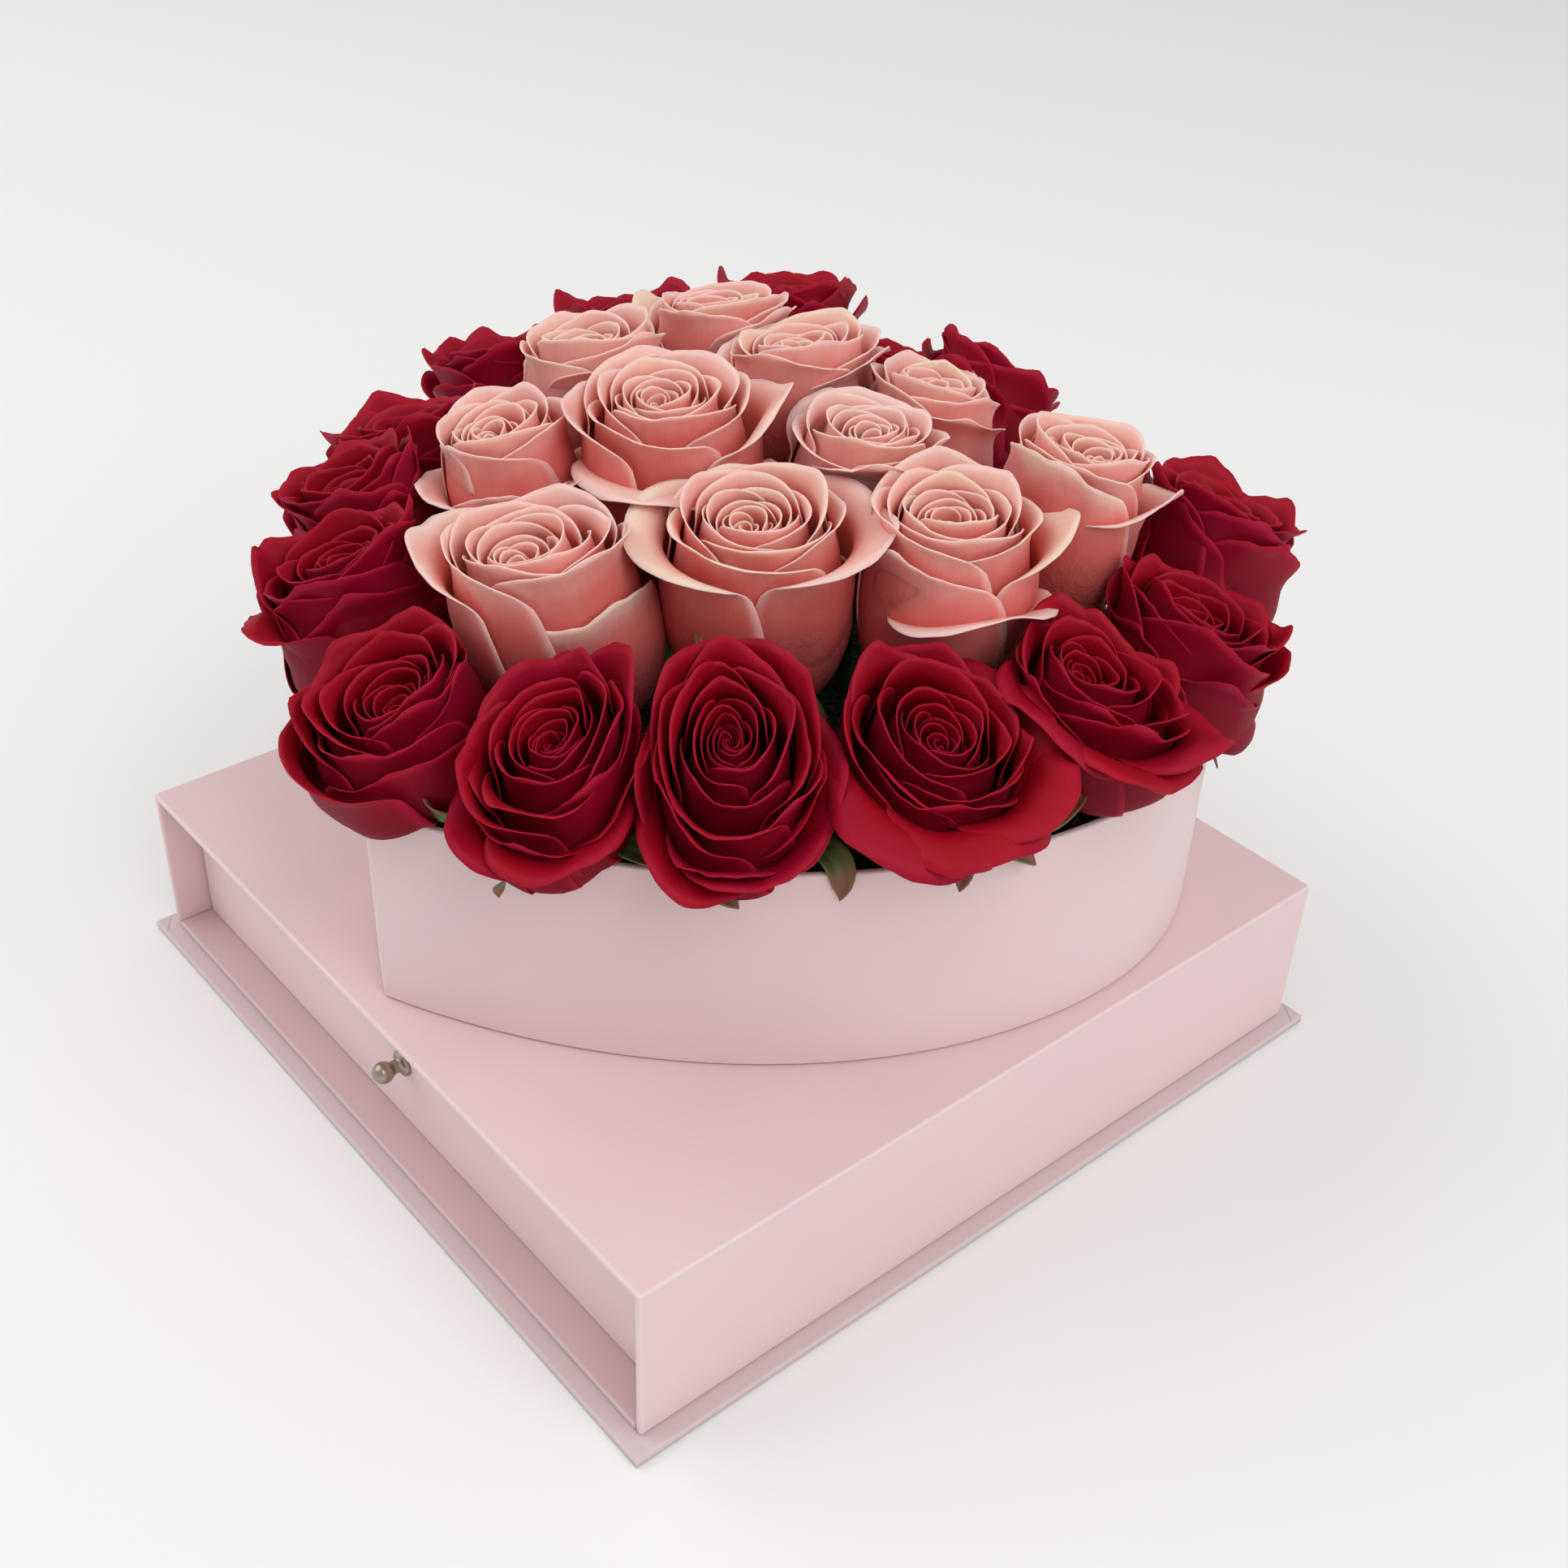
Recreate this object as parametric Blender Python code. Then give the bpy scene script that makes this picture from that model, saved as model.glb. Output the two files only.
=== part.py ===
"""A heart-shaped box of cut roses, glued onto a square box with one drawer.

Metres, +Z up.  The origin is the centre of the base board's underside.  The
drawer opens towards -Y, and the heart's tip points the same way.
"""

import math
import random
from collections import namedtuple

import bmesh
import bpy
from mathutils import Vector
from mathutils.bvhtree import BVHTree

MM = 0.001
GAP = 0.3 * MM  # clearance between neighbouring pieces

# Drawer box
BASE_SIDE = 260 * MM
BASE_THICK = 2.4 * MM
SLEEVE_SIDE = 250 * MM
SLEEVE_HEIGHT = 51 * MM
SLEEVE_BOARD = 2.2 * MM
FLOOR_BOARD = 1.8 * MM
EDGE_ROUND = 0.35 * MM
WELD = 0.02 * MM

# Drawer
DRAWER_RECESS = 11 * MM  # from the sleeve's front to the drawer's front
DRAWER_SIDE_PLAY = 0.8 * MM
DRAWER_TOP_PLAY = 1.2 * MM
DRAWER_BACK_PLAY = 1.8 * MM
DRAWER_BOARD = 1.8 * MM

# Knob and its screw, both turned about the line where they pass the front
KNOB_PLATE_RADIUS = 4.1 * MM
KNOB_PLATE_THICK = 1.0 * MM
KNOB_NECK_RADIUS = 1.8 * MM
KNOB_HEAD_RADIUS = 3.1 * MM
KNOB_HEAD_OUT = 6.2 * MM  # head's centre, out from the drawer's front
KNOB_SIDES = 14
SCREW_RADIUS = 0.85 * MM
SCREW_REACH = 4.6 * MM
SCREW_HEAD_RADIUS = 2.4 * MM
SCREW_HEAD_THICK = 1.6 * MM
SCREW_SIDES = 10

# Heart box: half its outline is three cubic curves, tip to shoulder to lobe to notch
HEART_TIP = Vector((0, -117.5)) * MM
HEART_TIP_HANDLE = 72.6 * MM
HEART_TIP_SLOPE = math.radians(23.5)
HEART_SHOULDER = Vector((118.7, 40.6)) * MM
HEART_SHOULDER_HANDLES = (68.7 * MM, 32.8 * MM)  # below and above the shoulder
HEART_LOBE = Vector((60, 113.8)) * MM
HEART_LOBE_HANDLES = (39.8 * MM, 28 * MM)  # outer and inner side of the lobe's top
HEART_NOTCH = Vector((0, 82)) * MM
HEART_NOTCH_HANDLE = Vector((9, 15)) * MM
HEART_STEPS = (7, 6, 6)
HEART_HEIGHT = 63 * MM
HEART_BOARD = 2.0 * MM
LINER_THICK = 0.7 * MM
LINER_ABOVE_FOAM = 3 * MM
FOAM_BELOW_RIM = 22 * MM

# Stems, calyx and sepals
STEM_SIDES = 5
STEM_RADIUS = 2.4 * MM
STEM_DEPTH = 28 * MM
HOLE_PLAY = 0.5 * MM
CALYX_LENGTH = 6 * MM
CALYX_RADIUS = 4.6 * MM
CALYX_TOP = 0.25 * MM  # above the bloom's base point, and still below its petals
NECK_INSET = 1.5 * MM
SEPAL_WIDTH = 5.0 * MM
SEPAL_THICK = 0.9 * MM
SEPAL_BELOW_BELLY = 2.6 * MM
SEPAL_UNDER_BLOOM = 0.5 * MM
SEPAL_STATIONS = ((0.5, 1.0), (0.95, 0.75))  # share of the way out to the belly, width
SEPAL_TIP = 0.45  # further share of that way from a sepal's last station to its tip
SEPAL_CROWDED = 1.5 * MM  # a sepal ends before a point that would have to move further

# Room that a piece keeps to the heart's rim and to the next rose
BLOOM_OVER_RIM = 3.2 * MM
GREEN_OVER_RIM = 1.1 * MM
RIM_SHELF = 7 * MM
RIM_EASE = 3.5 * MM
RIM_FALL = 1.0  # how steeply the shelf over the rim falls away on both sides
LIFT_ROUNDS = 2
ROSE_CLEARANCE = 0.6 * MM
WIDEST = 1.04  # a bloom's furthest petal, as a share of its radius
CROWD_REACH = 80 * MM

# Blooms: every ring of a bloom has this many points
BLOOM_SIDES = 20
LOBE_SHARPNESS = 1.7
PETAL_JITTER = 0.35
SEED = 7

# A ring runs round the bloom at a share of its radius and height.  Its petals
# swirl outwards along the ring, and each has a lobe with a reach and a lift.
Ring = namedtuple("Ring", "radius height petals phase swirl reach lift")
Kind = namedtuple("Kind", "height radius rings material")
Rose = namedtuple("Rose", "name kind face lean towards turn size")

RED_RINGS = (
    Ring(0.16, 0.02, 5, 0.00, 0.00, 0.00, 0.00),
    Ring(0.80, 0.24, 5, 0.00, 0.02, 0.03, 0.00),
    Ring(0.88, 0.56, 5, 0.00, 0.08, 0.06, 0.03),
    Ring(0.90, 0.76, 5, 0.00, 0.12, 0.16, 0.07),
    Ring(0.81, 0.80, 5, 0.00, 0.12, 0.14, 0.09),
    Ring(0.62, 0.64, 5, 0.00, 0.05, 0.03, 0.00),
    Ring(0.63, 0.90, 5, 0.50, 0.09, 0.07, 0.07),
    Ring(0.43, 0.74, 5, 0.50, 0.05, 0.02, 0.00),
    Ring(0.41, 0.93, 4, 0.20, 0.07, 0.04, 0.05),
    Ring(0.25, 0.79, 4, 0.20, 0.03, 0.00, 0.00),
    Ring(0.18, 0.92, 1, 0.00, 0.07, 0.00, 0.03),
)
PINK_RINGS = (
    Ring(0.16, 0.015, 5, 0.00, 0.00, 0.00, 0.00),
    Ring(0.88, 0.21, 5, 0.00, 0.02, 0.03, 0.00),
    Ring(0.92, 0.56, 5, 0.00, 0.06, 0.04, 0.02),
    Ring(0.86, 0.89, 5, 0.00, 0.12, 0.22, 0.07),
    Ring(0.79, 0.92, 5, 0.00, 0.12, 0.19, 0.08),
    Ring(0.61, 0.75, 5, 0.00, 0.05, 0.02, 0.00),
    Ring(0.61, 0.96, 5, 0.50, 0.08, 0.05, 0.05),
    Ring(0.42, 0.82, 5, 0.50, 0.04, 0.02, 0.00),
    Ring(0.41, 0.97, 4, 0.20, 0.07, 0.03, 0.04),
    Ring(0.24, 0.86, 4, 0.20, 0.03, 0.00, 0.00),
    Ring(0.18, 0.97, 1, 0.00, 0.07, 0.00, 0.02),
)
BUD_DIMPLE = 0.05  # depth of the bud's top, as a share of the bloom's height
FALLING_RINGS = (4, 6, 8, 10)  # bands that lead down, into a hollow
RED = Kind(44 * MM, 34 * MM, RED_RINGS, "red petals")
PINK = Kind(60 * MM, 31 * MM, PINK_RINGS, "pink petals")

# Each rose: the middle of its open face in millimetres, its lean from upright
# and the heading it leans towards in degrees, its turn, and its size
ROSE_PLAN = (
    ("red_01", RED, (-5, -101, 148), 22, -95, 10, 0.98),
    ("red_02", RED, (38, -83, 148), 17, -58, 58, 0.98),
    ("red_03", RED, (66, -55, 148), 20, -42, 75, 1.04),
    ("red_04", RED, (89, -6, 146), 24, -18, 20, 1.00),
    ("red_05", RED, (103, 42, 148), 22, 2, 55, 0.96),
    ("red_06", RED, (99, 82, 151), 18, 36, 5, 0.96),
    ("red_07", RED, (73, 116, 163), 18, 72, 30, 0.94),
    ("red_08", RED, (27, 102, 152), 12, 95, 60, 0.84),
    ("red_09", RED, (-16, 117, 170), 35, 88, 15, 0.90),
    ("red_10", RED, (-58, 116, 160), 18, 96, 50, 0.86),
    ("red_11", RED, (-96, 104, 174), 16, 132, 25, 0.96),
    ("red_12", RED, (-119, 52, 172), 16, 172, 65, 0.98),
    ("red_13", RED, (-120, 6, 168), 17, 186, 35, 0.96),
    ("red_14", RED, (-104, -38, 162), 18, 206, 30, 0.94),
    ("red_15", RED, (-82, -67, 163), 22, 226, 30, 0.94),
    ("red_16", RED, (-55, -89, 157), 22, 236, 44, 0.98),
    ("pink_01", PINK, (-9, -62, 172), 8, -100, 12, 1.08),
    ("pink_02", PINK, (22, -8, 177), 8, -45, 48, 1.00),
    ("pink_03", PINK, (53, 35, 178), 6, -20, 30, 1.02),
    ("pink_04", PINK, (58, 79, 184), 8, 50, 64, 0.98),
    ("pink_05", PINK, (-31, 1, 188), 4, -45, 20, 1.06),
    ("pink_06", PINK, (-61, -36, 179), 8, 215, 55, 0.98),
    ("pink_07", PINK, (9, 41, 182), 4, 0, 5, 0.90),
    ("pink_08", PINK, (-2, 76, 183), 11, 98, 38, 0.94),
    ("pink_09", PINK, (-36, 58, 189), 5, 130, 70, 1.00),
    ("pink_10", PINK, (-80, 11, 187), 8, 188, 26, 0.98),
    ("pink_11", PINK, (-76, 54, 188), 8, 150, 60, 0.98),
)
# Roses that grow into each other at the back, each pair one body
JOINED_BLOOMS = (
    ("red_06", "red_07"),
    ("red_09", "red_10"),
    ("pink_07", "pink_08"),
    ("pink_10", "pink_11"),
)

MATERIALS = {
    # name: (base colour, roughness, metallic)
    "pink paper": ((0.86, 0.67, 0.68), 0.55, 0.0),
    "dusky paper": ((0.72, 0.52, 0.54), 0.60, 0.0),
    "nickel": ((0.62, 0.58, 0.52), 0.25, 1.0),
    "steel": ((0.55, 0.55, 0.56), 0.35, 1.0),
    "liner film": ((0.75, 0.78, 0.76), 0.30, 0.0),
    "wet foam": ((0.06, 0.16, 0.07), 0.95, 0.0),
    "leaf green": ((0.06, 0.14, 0.03), 0.55, 0.0),
    "red petals": ((0.48, 0.01, 0.03), 0.50, 0.0),
    "pink petals": ((0.90, 0.47, 0.42), 0.50, 0.0),
}

SLEEVE_BOTTOM = BASE_THICK + GAP
SLEEVE_TOP = SLEEVE_BOTTOM + SLEEVE_HEIGHT
FLOOR_TOP = SLEEVE_BOTTOM + FLOOR_BOARD
DRAWER_FRONT = -SLEEVE_SIDE / 2 + DRAWER_RECESS
DRAWER_BOTTOM = FLOOR_TOP + GAP
DRAWER_TOP = SLEEVE_TOP - SLEEVE_BOARD - DRAWER_TOP_PLAY
KNOB_HEIGHT = (DRAWER_BOTTOM + DRAWER_TOP) / 2
HEART_BOTTOM = SLEEVE_TOP + GAP
HEART_RIM = HEART_BOTTOM + HEART_HEIGHT
HEART_FLOOR_TOP = HEART_BOTTOM + HEART_BOARD
LINER_BOTTOM = HEART_FLOOR_TOP + GAP
LINER_INSET = HEART_BOARD + GAP
FOAM_INSET = LINER_INSET + LINER_THICK + GAP
FOAM_BOTTOM = LINER_BOTTOM + LINER_THICK + GAP
FOAM_TOP = HEART_RIM - FOAM_BELOW_RIM


def clear_scene():
    """Remove whatever the file opened with."""
    for obj in list(bpy.data.objects):
        bpy.data.objects.remove(obj, do_unlink=True)


def material(name):
    """Return the named material, made on first use."""
    found = bpy.data.materials.get(name)
    if found:
        return found
    colour, roughness, metallic = MATERIALS[name]
    made = bpy.data.materials.new(name)
    made.use_nodes = True
    shader = made.node_tree.nodes["Principled BSDF"]
    shader.inputs["Base Color"].default_value = (*colour, 1.0)
    shader.inputs["Roughness"].default_value = roughness
    shader.inputs["Metallic"].default_value = metallic
    return made


def add_object(name, bm, finish, place=Vector()):
    """Turn a bmesh, drawn round its own place, into a finished object there."""
    bmesh.ops.recalc_face_normals(bm, faces=bm.faces)
    mesh = bpy.data.meshes.new(name)
    bm.to_mesh(mesh)
    bm.free()
    mesh.shade_smooth()
    mesh.set_sharp_from_angle(angle=math.radians(40))
    mesh.materials.append(material(finish))
    obj = bpy.data.objects.new(name, mesh)
    obj.location = place
    bpy.context.scene.collection.objects.link(obj)
    return obj


def box_mesh(low, high):
    """A bmesh box between two corners."""
    bm = bmesh.new()
    bmesh.ops.create_cube(bm, size=1.0)
    low, high = Vector(low), Vector(high)
    for vert in bm.verts:
        vert.co = (low + high) / 2 + vert.co * (high - low)
    return bm


def add_cutter(name, bm, target, place=Vector()):
    """Cut a shape out of the target with an exact Boolean."""
    cutter = add_object(name, bm, "steel", place)
    cutter.hide_render = True
    cutter.display_type = "WIRE"
    cut = target.modifiers.new(name, "BOOLEAN")
    cut.operation = "DIFFERENCE"
    cut.object = cutter
    return cutter


def round_edges(obj, width=EDGE_ROUND):
    """Round a board's edges as its wrapping paper does."""
    bevel = obj.modifiers.new("wrapped edges", "BEVEL")
    bevel.width = width
    bevel.segments = 1
    bevel.limit_method = "ANGLE"
    bevel.angle_limit = math.radians(50)


def add_board(name, low, high, finish):
    """One flat wrapped board."""
    board = add_object(name, box_mesh(low, high), finish)
    round_edges(board)
    return board


def add_base():
    """The base board and the thin floor board that lies on it in the sleeve."""
    edge = BASE_SIDE / 2
    add_board("base_board", (-edge, -edge, 0), (edge, edge, BASE_THICK), "dusky paper")
    side = SLEEVE_SIDE / 2 - SLEEVE_BOARD - GAP
    low = (-side, -SLEEVE_SIDE / 2, SLEEVE_BOTTOM)
    add_board("inner_floor", low, (side, side, FLOOR_TOP), "dusky paper")


def add_sleeve():
    """The sleeve: top, two sides and back, open to the front and below."""
    half = SLEEVE_SIDE / 2
    shell = box_mesh((-half, -half, SLEEVE_BOTTOM), (half, half, SLEEVE_TOP))
    sleeve = add_object("sleeve_shell", shell, "pink paper")
    inside = half - SLEEVE_BOARD
    past = 2 * SLEEVE_BOARD
    hollow = box_mesh(
        (-inside, -half - past, SLEEVE_BOTTOM - past),
        (inside, inside, SLEEVE_TOP - SLEEVE_BOARD),
    )
    add_cutter("sleeve hollow", hollow, sleeve)
    round_edges(sleeve)


def add_drawer():
    """The drawer tray with its knob and screw, under one empty at its front."""
    slide = bpy.data.objects.new("drawer", None)
    slide.location = (0, DRAWER_FRONT, KNOB_HEIGHT)
    bpy.context.scene.collection.objects.link(slide)
    half = SLEEVE_SIDE / 2 - SLEEVE_BOARD - DRAWER_SIDE_PLAY
    back = SLEEVE_SIDE / 2 - SLEEVE_BOARD - DRAWER_BACK_PLAY - DRAWER_FRONT
    low, high = DRAWER_BOTTOM - KNOB_HEIGHT, DRAWER_TOP - KNOB_HEIGHT
    tray = add_object("drawer_tray", box_mesh((-half, 0, low), (half, back, high)), "pink paper")
    board = DRAWER_BOARD
    hollow = box_mesh(
        (-half + board, board, low + board),
        (half - board, back - board, high + board),
    )
    cutters = [add_cutter("drawer hollow", hollow, tray)]
    hole = turned_mesh(hole_profile(), SCREW_SIDES)
    cutters.append(add_cutter("knob hole", hole, tray))
    round_edges(tray)
    knob = add_object("drawer_knob", turned_mesh(knob_profile(), KNOB_SIDES), "nickel")
    screw = add_object("knob_screw", turned_mesh(screw_profile(), SCREW_SIDES), "steel")
    for obj in [tray, knob, screw] + cutters:
        obj.parent = slide


def turned_mesh(profile, sides):
    """Turn a profile of (radius, distance out) about the knob's axis, -Y."""
    bm = bmesh.new()
    verts = [bm.verts.new((radius, -out, 0)) for radius, out in profile]
    edges = [bm.edges.new(pair) for pair in zip(verts, verts[1:])]
    bmesh.ops.spin(
        bm, geom=verts + edges, cent=(0, 0, 0), axis=(0, 1, 0),
        angle=2 * math.pi, steps=sides, use_merge=True,
    )
    bmesh.ops.remove_doubles(bm, verts=bm.verts, dist=WELD)
    return bm


def hole_profile():
    """A plain round hole through the drawer's front."""
    radius = SCREW_RADIUS + GAP
    past = DRAWER_BOARD
    return [(0, past), (radius, past), (radius, -2 * past), (0, -2 * past)]


def knob_profile():
    """Round plate, thin neck and ball head, with a blind bore for the screw."""
    bore = SCREW_RADIUS + GAP
    plate_out = GAP + KNOB_PLATE_THICK
    profile = [
        (0, SCREW_REACH + 2 * GAP),
        (bore, SCREW_REACH + 2 * GAP),
        (bore, GAP),
        (KNOB_PLATE_RADIUS, GAP),
        (KNOB_PLATE_RADIUS, plate_out - GAP),
        (KNOB_PLATE_RADIUS - 2 * GAP, plate_out),
        (KNOB_NECK_RADIUS, plate_out + GAP),
    ]
    start = math.acos(-math.sqrt(1 - (KNOB_NECK_RADIUS / KNOB_HEAD_RADIUS) ** 2))
    steps = 5
    for step in range(steps + 1):
        angle = start * (1 - step / steps)
        radius = KNOB_HEAD_RADIUS * math.sin(angle)
        profile.append((radius, KNOB_HEAD_OUT + KNOB_HEAD_RADIUS * math.cos(angle)))
    profile[-1] = (0, KNOB_HEAD_OUT + KNOB_HEAD_RADIUS)
    return profile


def screw_profile():
    """The screw from its tip in the knob to its pan head inside the drawer."""
    head = -DRAWER_BOARD - GAP
    return [
        (0, SCREW_REACH),
        (SCREW_RADIUS, SCREW_REACH),
        (SCREW_RADIUS, head),
        (SCREW_HEAD_RADIUS, head),
        (SCREW_HEAD_RADIUS * 0.85, head - SCREW_HEAD_THICK),
        (0, head - SCREW_HEAD_THICK),
    ]


def cubic(start, first, second, end, steps):
    """Points along a cubic curve, without its end."""
    for step in range(steps):
        t = step / steps
        s = 1 - t
        yield start * s**3 + first * 3 * s * s * t + second * 3 * s * t * t + end * t**3


def heart_outline(inset=0.0):
    """The heart's outline as points against the clock, moved inwards by inset."""
    slope = Vector((math.cos(HEART_TIP_SLOPE), math.sin(HEART_TIP_SLOPE)))
    low_handle, high_handle = HEART_SHOULDER_HANDLES
    outer_handle, inner_handle = HEART_LOBE_HANDLES
    side, shoulder, lobe = HEART_STEPS
    right = list(cubic(
        HEART_TIP, HEART_TIP + slope * HEART_TIP_HANDLE,
        HEART_SHOULDER - Vector((0, low_handle)), HEART_SHOULDER, side,
    ))
    right += cubic(
        HEART_SHOULDER, HEART_SHOULDER + Vector((0, high_handle)),
        HEART_LOBE + Vector((outer_handle, 0)), HEART_LOBE, shoulder,
    )
    right += cubic(
        HEART_LOBE, HEART_LOBE - Vector((inner_handle, 0)),
        HEART_NOTCH + HEART_NOTCH_HANDLE, HEART_NOTCH, lobe,
    )
    left = [Vector((-point.x, point.y)) for point in right[:0:-1]]
    outline = right + [HEART_NOTCH.copy()] + left
    return [inset_corner(outline, index, inset) for index in range(len(outline))]


def inset_corner(outline, index, inset):
    """One corner of the outline, moved inwards square to both its sides."""
    here = outline[index]
    before = (here - outline[index - 1]).normalized()
    after = (outline[(index + 1) % len(outline)] - here).normalized()
    inward = Vector((-before.y - after.y, before.x + after.x)).normalized()
    return here + inward * inset / inward.dot(Vector((-after.y, after.x)))


def heart_loop(bm, inset, height):
    """A closed loop of vertices along the heart."""
    return [bm.verts.new((point.x, point.y, height)) for point in heart_outline(inset)]


def bridge(bm, loops):
    """Join each loop to the next with a band of faces."""
    for lower, upper in zip(loops, loops[1:]):
        for index in range(len(lower)):
            after = (index + 1) % len(lower)
            bm.faces.new((lower[index], lower[after], upper[after], upper[index]))


def heart_block(name, inset, bottom, top, finish):
    """A solid slab with the heart's outline."""
    bm = bmesh.new()
    loops = [heart_loop(bm, inset, bottom), heart_loop(bm, inset, top)]
    bridge(bm, loops)
    caps = [bm.faces.new(loop) for loop in loops]
    bmesh.ops.triangulate(bm, faces=caps)
    return add_object(name, bm, finish)


def add_heart_box():
    """The wall, the floor inside it, the liner and the foam with its holes."""
    wall = bmesh.new()
    loops = [
        heart_loop(wall, 0, HEART_BOTTOM),
        heart_loop(wall, 0, HEART_RIM),
        heart_loop(wall, HEART_BOARD, HEART_RIM),
        heart_loop(wall, HEART_BOARD, HEART_BOTTOM),
    ]
    bridge(wall, loops + loops[:1])
    add_object("heart_wall", wall, "pink paper")
    heart_block("heart_floor", HEART_BOARD + GAP, HEART_BOTTOM, HEART_FLOOR_TOP, "dusky paper")
    liner = bmesh.new()
    rim = FOAM_TOP + LINER_ABOVE_FOAM
    thick = LINER_INSET + LINER_THICK
    loops = [
        heart_loop(liner, LINER_INSET, LINER_BOTTOM),
        heart_loop(liner, LINER_INSET, rim),
        heart_loop(liner, thick, rim),
        heart_loop(liner, thick, LINER_BOTTOM + LINER_THICK),
    ]
    bridge(liner, loops)
    caps = [liner.faces.new(loops[0]), liner.faces.new(loops[-1])]
    bmesh.ops.triangulate(liner, faces=caps)
    add_object("foam_liner", liner, "liner film")
    foam = heart_block("floral_foam", FOAM_INSET, FOAM_BOTTOM, FOAM_TOP, "wet foam")
    add_cutter("stem holes", stem_hole_mesh(), foam)


def stem_hole_mesh():
    """All the stem holes: one upright prism each, from its blind end up."""
    bm = bmesh.new()
    depth = STEM_DEPTH + GAP
    for rose in ROSES:
        foot = foot_of(rose)
        ends = []
        for height in (FOAM_TOP - depth, FOAM_TOP + depth / 4):
            ends.append(stem_ring(bm, foot, Vector((0, 0, 1)), height, STEM_RADIUS + HOLE_PLAY))
        bridge(bm, ends)
        for end in ends:
            bm.faces.new(end)
    return bm


def stem_ring(bm, middle, axis, height, radius):
    """A small ring round a stem, square to its axis."""
    across = Vector((1, 0, 0))
    side = axis.cross(across).normalized()
    across = side.cross(axis)
    middle = Vector((middle.x, middle.y, height))
    ring = []
    for index in range(STEM_SIDES):
        angle = 2 * math.pi * index / STEM_SIDES
        spot = middle + (across * math.cos(angle) + side * math.sin(angle)) * radius
        ring.append(bm.verts.new(spot))
    return ring


def read_plan():
    """The rose plan in metres and radians."""
    roses = []
    for name, kind, face, lean, towards, turn, size in ROSE_PLAN:
        angles = [math.radians(angle) for angle in (lean, towards, turn)]
        roses.append(Rose(name, kind, Vector(face) * MM, *angles, size))
    return roses


def axis_of(rose):
    """The way the rose faces."""
    out = math.sin(rose.lean)
    return Vector((
        out * math.cos(rose.towards),
        out * math.sin(rose.towards),
        math.cos(rose.lean),
    ))


def base_of(rose):
    """The bottom of the bloom, where its calyx holds it."""
    return rose.face - axis_of(rose) * rose.kind.height * rose.size


def foot_of(rose):
    """Where the stem enters the foam."""
    back = CALYX_LENGTH + GAP
    neck = base_of(rose) - axis_of(rose) * back
    inset = Vector((math.cos(rose.towards), math.sin(rose.towards), 0)) * NECK_INSET
    return neck - inset * (1 if rose.lean > math.radians(10) else 0)


def middle_at(rose, height):
    """The middle of a rose, from its foot to its face, at a given height."""
    base, foot = base_of(rose), foot_of(rose)
    if height <= foot.z:
        return foot.xy
    reach = min(height, rose.face.z + CALYX_LENGTH) - base.z
    if reach < 0:
        share = (height - foot.z) / (base.z - foot.z)
        return foot.xy.lerp(base.xy, max(0.0, min(1.0, share)))
    axis = axis_of(rose)
    return (base + axis * reach / axis.z).xy


def out_of_heart(point):
    """How far a point lies outside the heart's outline, or below zero inside."""
    nearest = 1.0
    inside = False
    for index, end in enumerate(OUTLINE):
        start = OUTLINE[index - 1]
        along = end - start
        share = max(0.0, min(1.0, (point - start).dot(along) / along.length_squared))
        nearest = min(nearest, (start + along * share - point).length)
        if (start.y > point.y) != (end.y > point.y):
            crossing = start.x + along.x * (point.y - start.y) / along.y
            inside ^= point.x < crossing
    return -nearest if inside else nearest


def shelf_at(point, room):
    """How high a rose has to stay there, to pass over the heart's wall."""
    away = abs(out_of_heart(point.xy) + HEART_BOARD / 2)
    return max(HEART_RIM + room - max(0.0, away - RIM_SHELF) * RIM_FALL, FOAM_TOP + room)


def over_rim(point, room):
    """Ease a point up over the shelf, so that what lies higher stays higher."""
    shelf = shelf_at(point, room)
    eased = RIM_EASE * math.log1p(math.exp((point.z - shelf) / RIM_EASE))
    return Vector((point.x, point.y, shelf + eased))


def lift_edges(bm, room):
    """Lift the ends of each edge that would cut through the shelf between them."""
    low = [edge for edge in bm.edges if min(vert.co.z for vert in edge.verts) < HEART_RIM + room]
    for _ in range(LIFT_ROUNDS):
        lifts = {}
        for edge in low:
            first, last = edge.verts
            middles = [first.co.lerp(last.co, share) for share in (0.25, 0.5, 0.75)]
            short = max(shelf_at(middle, room) - middle.z for middle in middles)
            for vert in edge.verts:
                lifts[vert] = max(short, lifts.get(vert, 0.0))
        for vert, lift in lifts.items():
            vert.co.z += lift


def clear_of_roses(point, rose, friends):
    """Draw a point in towards its rose's middle on each side where a neighbour is near."""
    flat = point.xy
    own = middle_at(rose, point.z)
    widest = rose.kind.radius * rose.size * WIDEST
    for other in ROSES:
        if other is rose or other.name in friends or (other.face - rose.face).length > CROWD_REACH:
            continue
        away = middle_at(other, point.z) - own
        size, other_size = (item.kind.radius * item.size for item in (rose, other))
        room = away.length * size / (size + other_size) - ROSE_CLEARANCE
        along = (flat - own).dot(away.normalized())
        if along > 0 and room < widest:
            flat -= away.normalized() * along * (1 - room / widest)
    return Vector((flat.x, flat.y, point.z))


def settled(point, rose, room, friends):
    """Fit a point of a rose in among the others and over the heart's rim."""
    return clear_of_roses(over_rim(point, room), rose, friends)


def local_frame(rose):
    """Two directions square to the rose's axis, turned by the rose's turn."""
    axis = axis_of(rose)
    side = axis.cross(Vector((1, 0, 0))).normalized()
    across = side.cross(axis)
    turned = across * math.cos(rose.turn) + side * math.sin(rose.turn)
    return turned, axis.cross(turned), axis


def in_world(rose, radius, angle, height):
    """A point given round the rose's own axis, above its base."""
    across, side, axis = local_frame(rose)
    around = across * math.cos(angle) + side * math.sin(angle)
    return base_of(rose) + around * radius + axis * height


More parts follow.
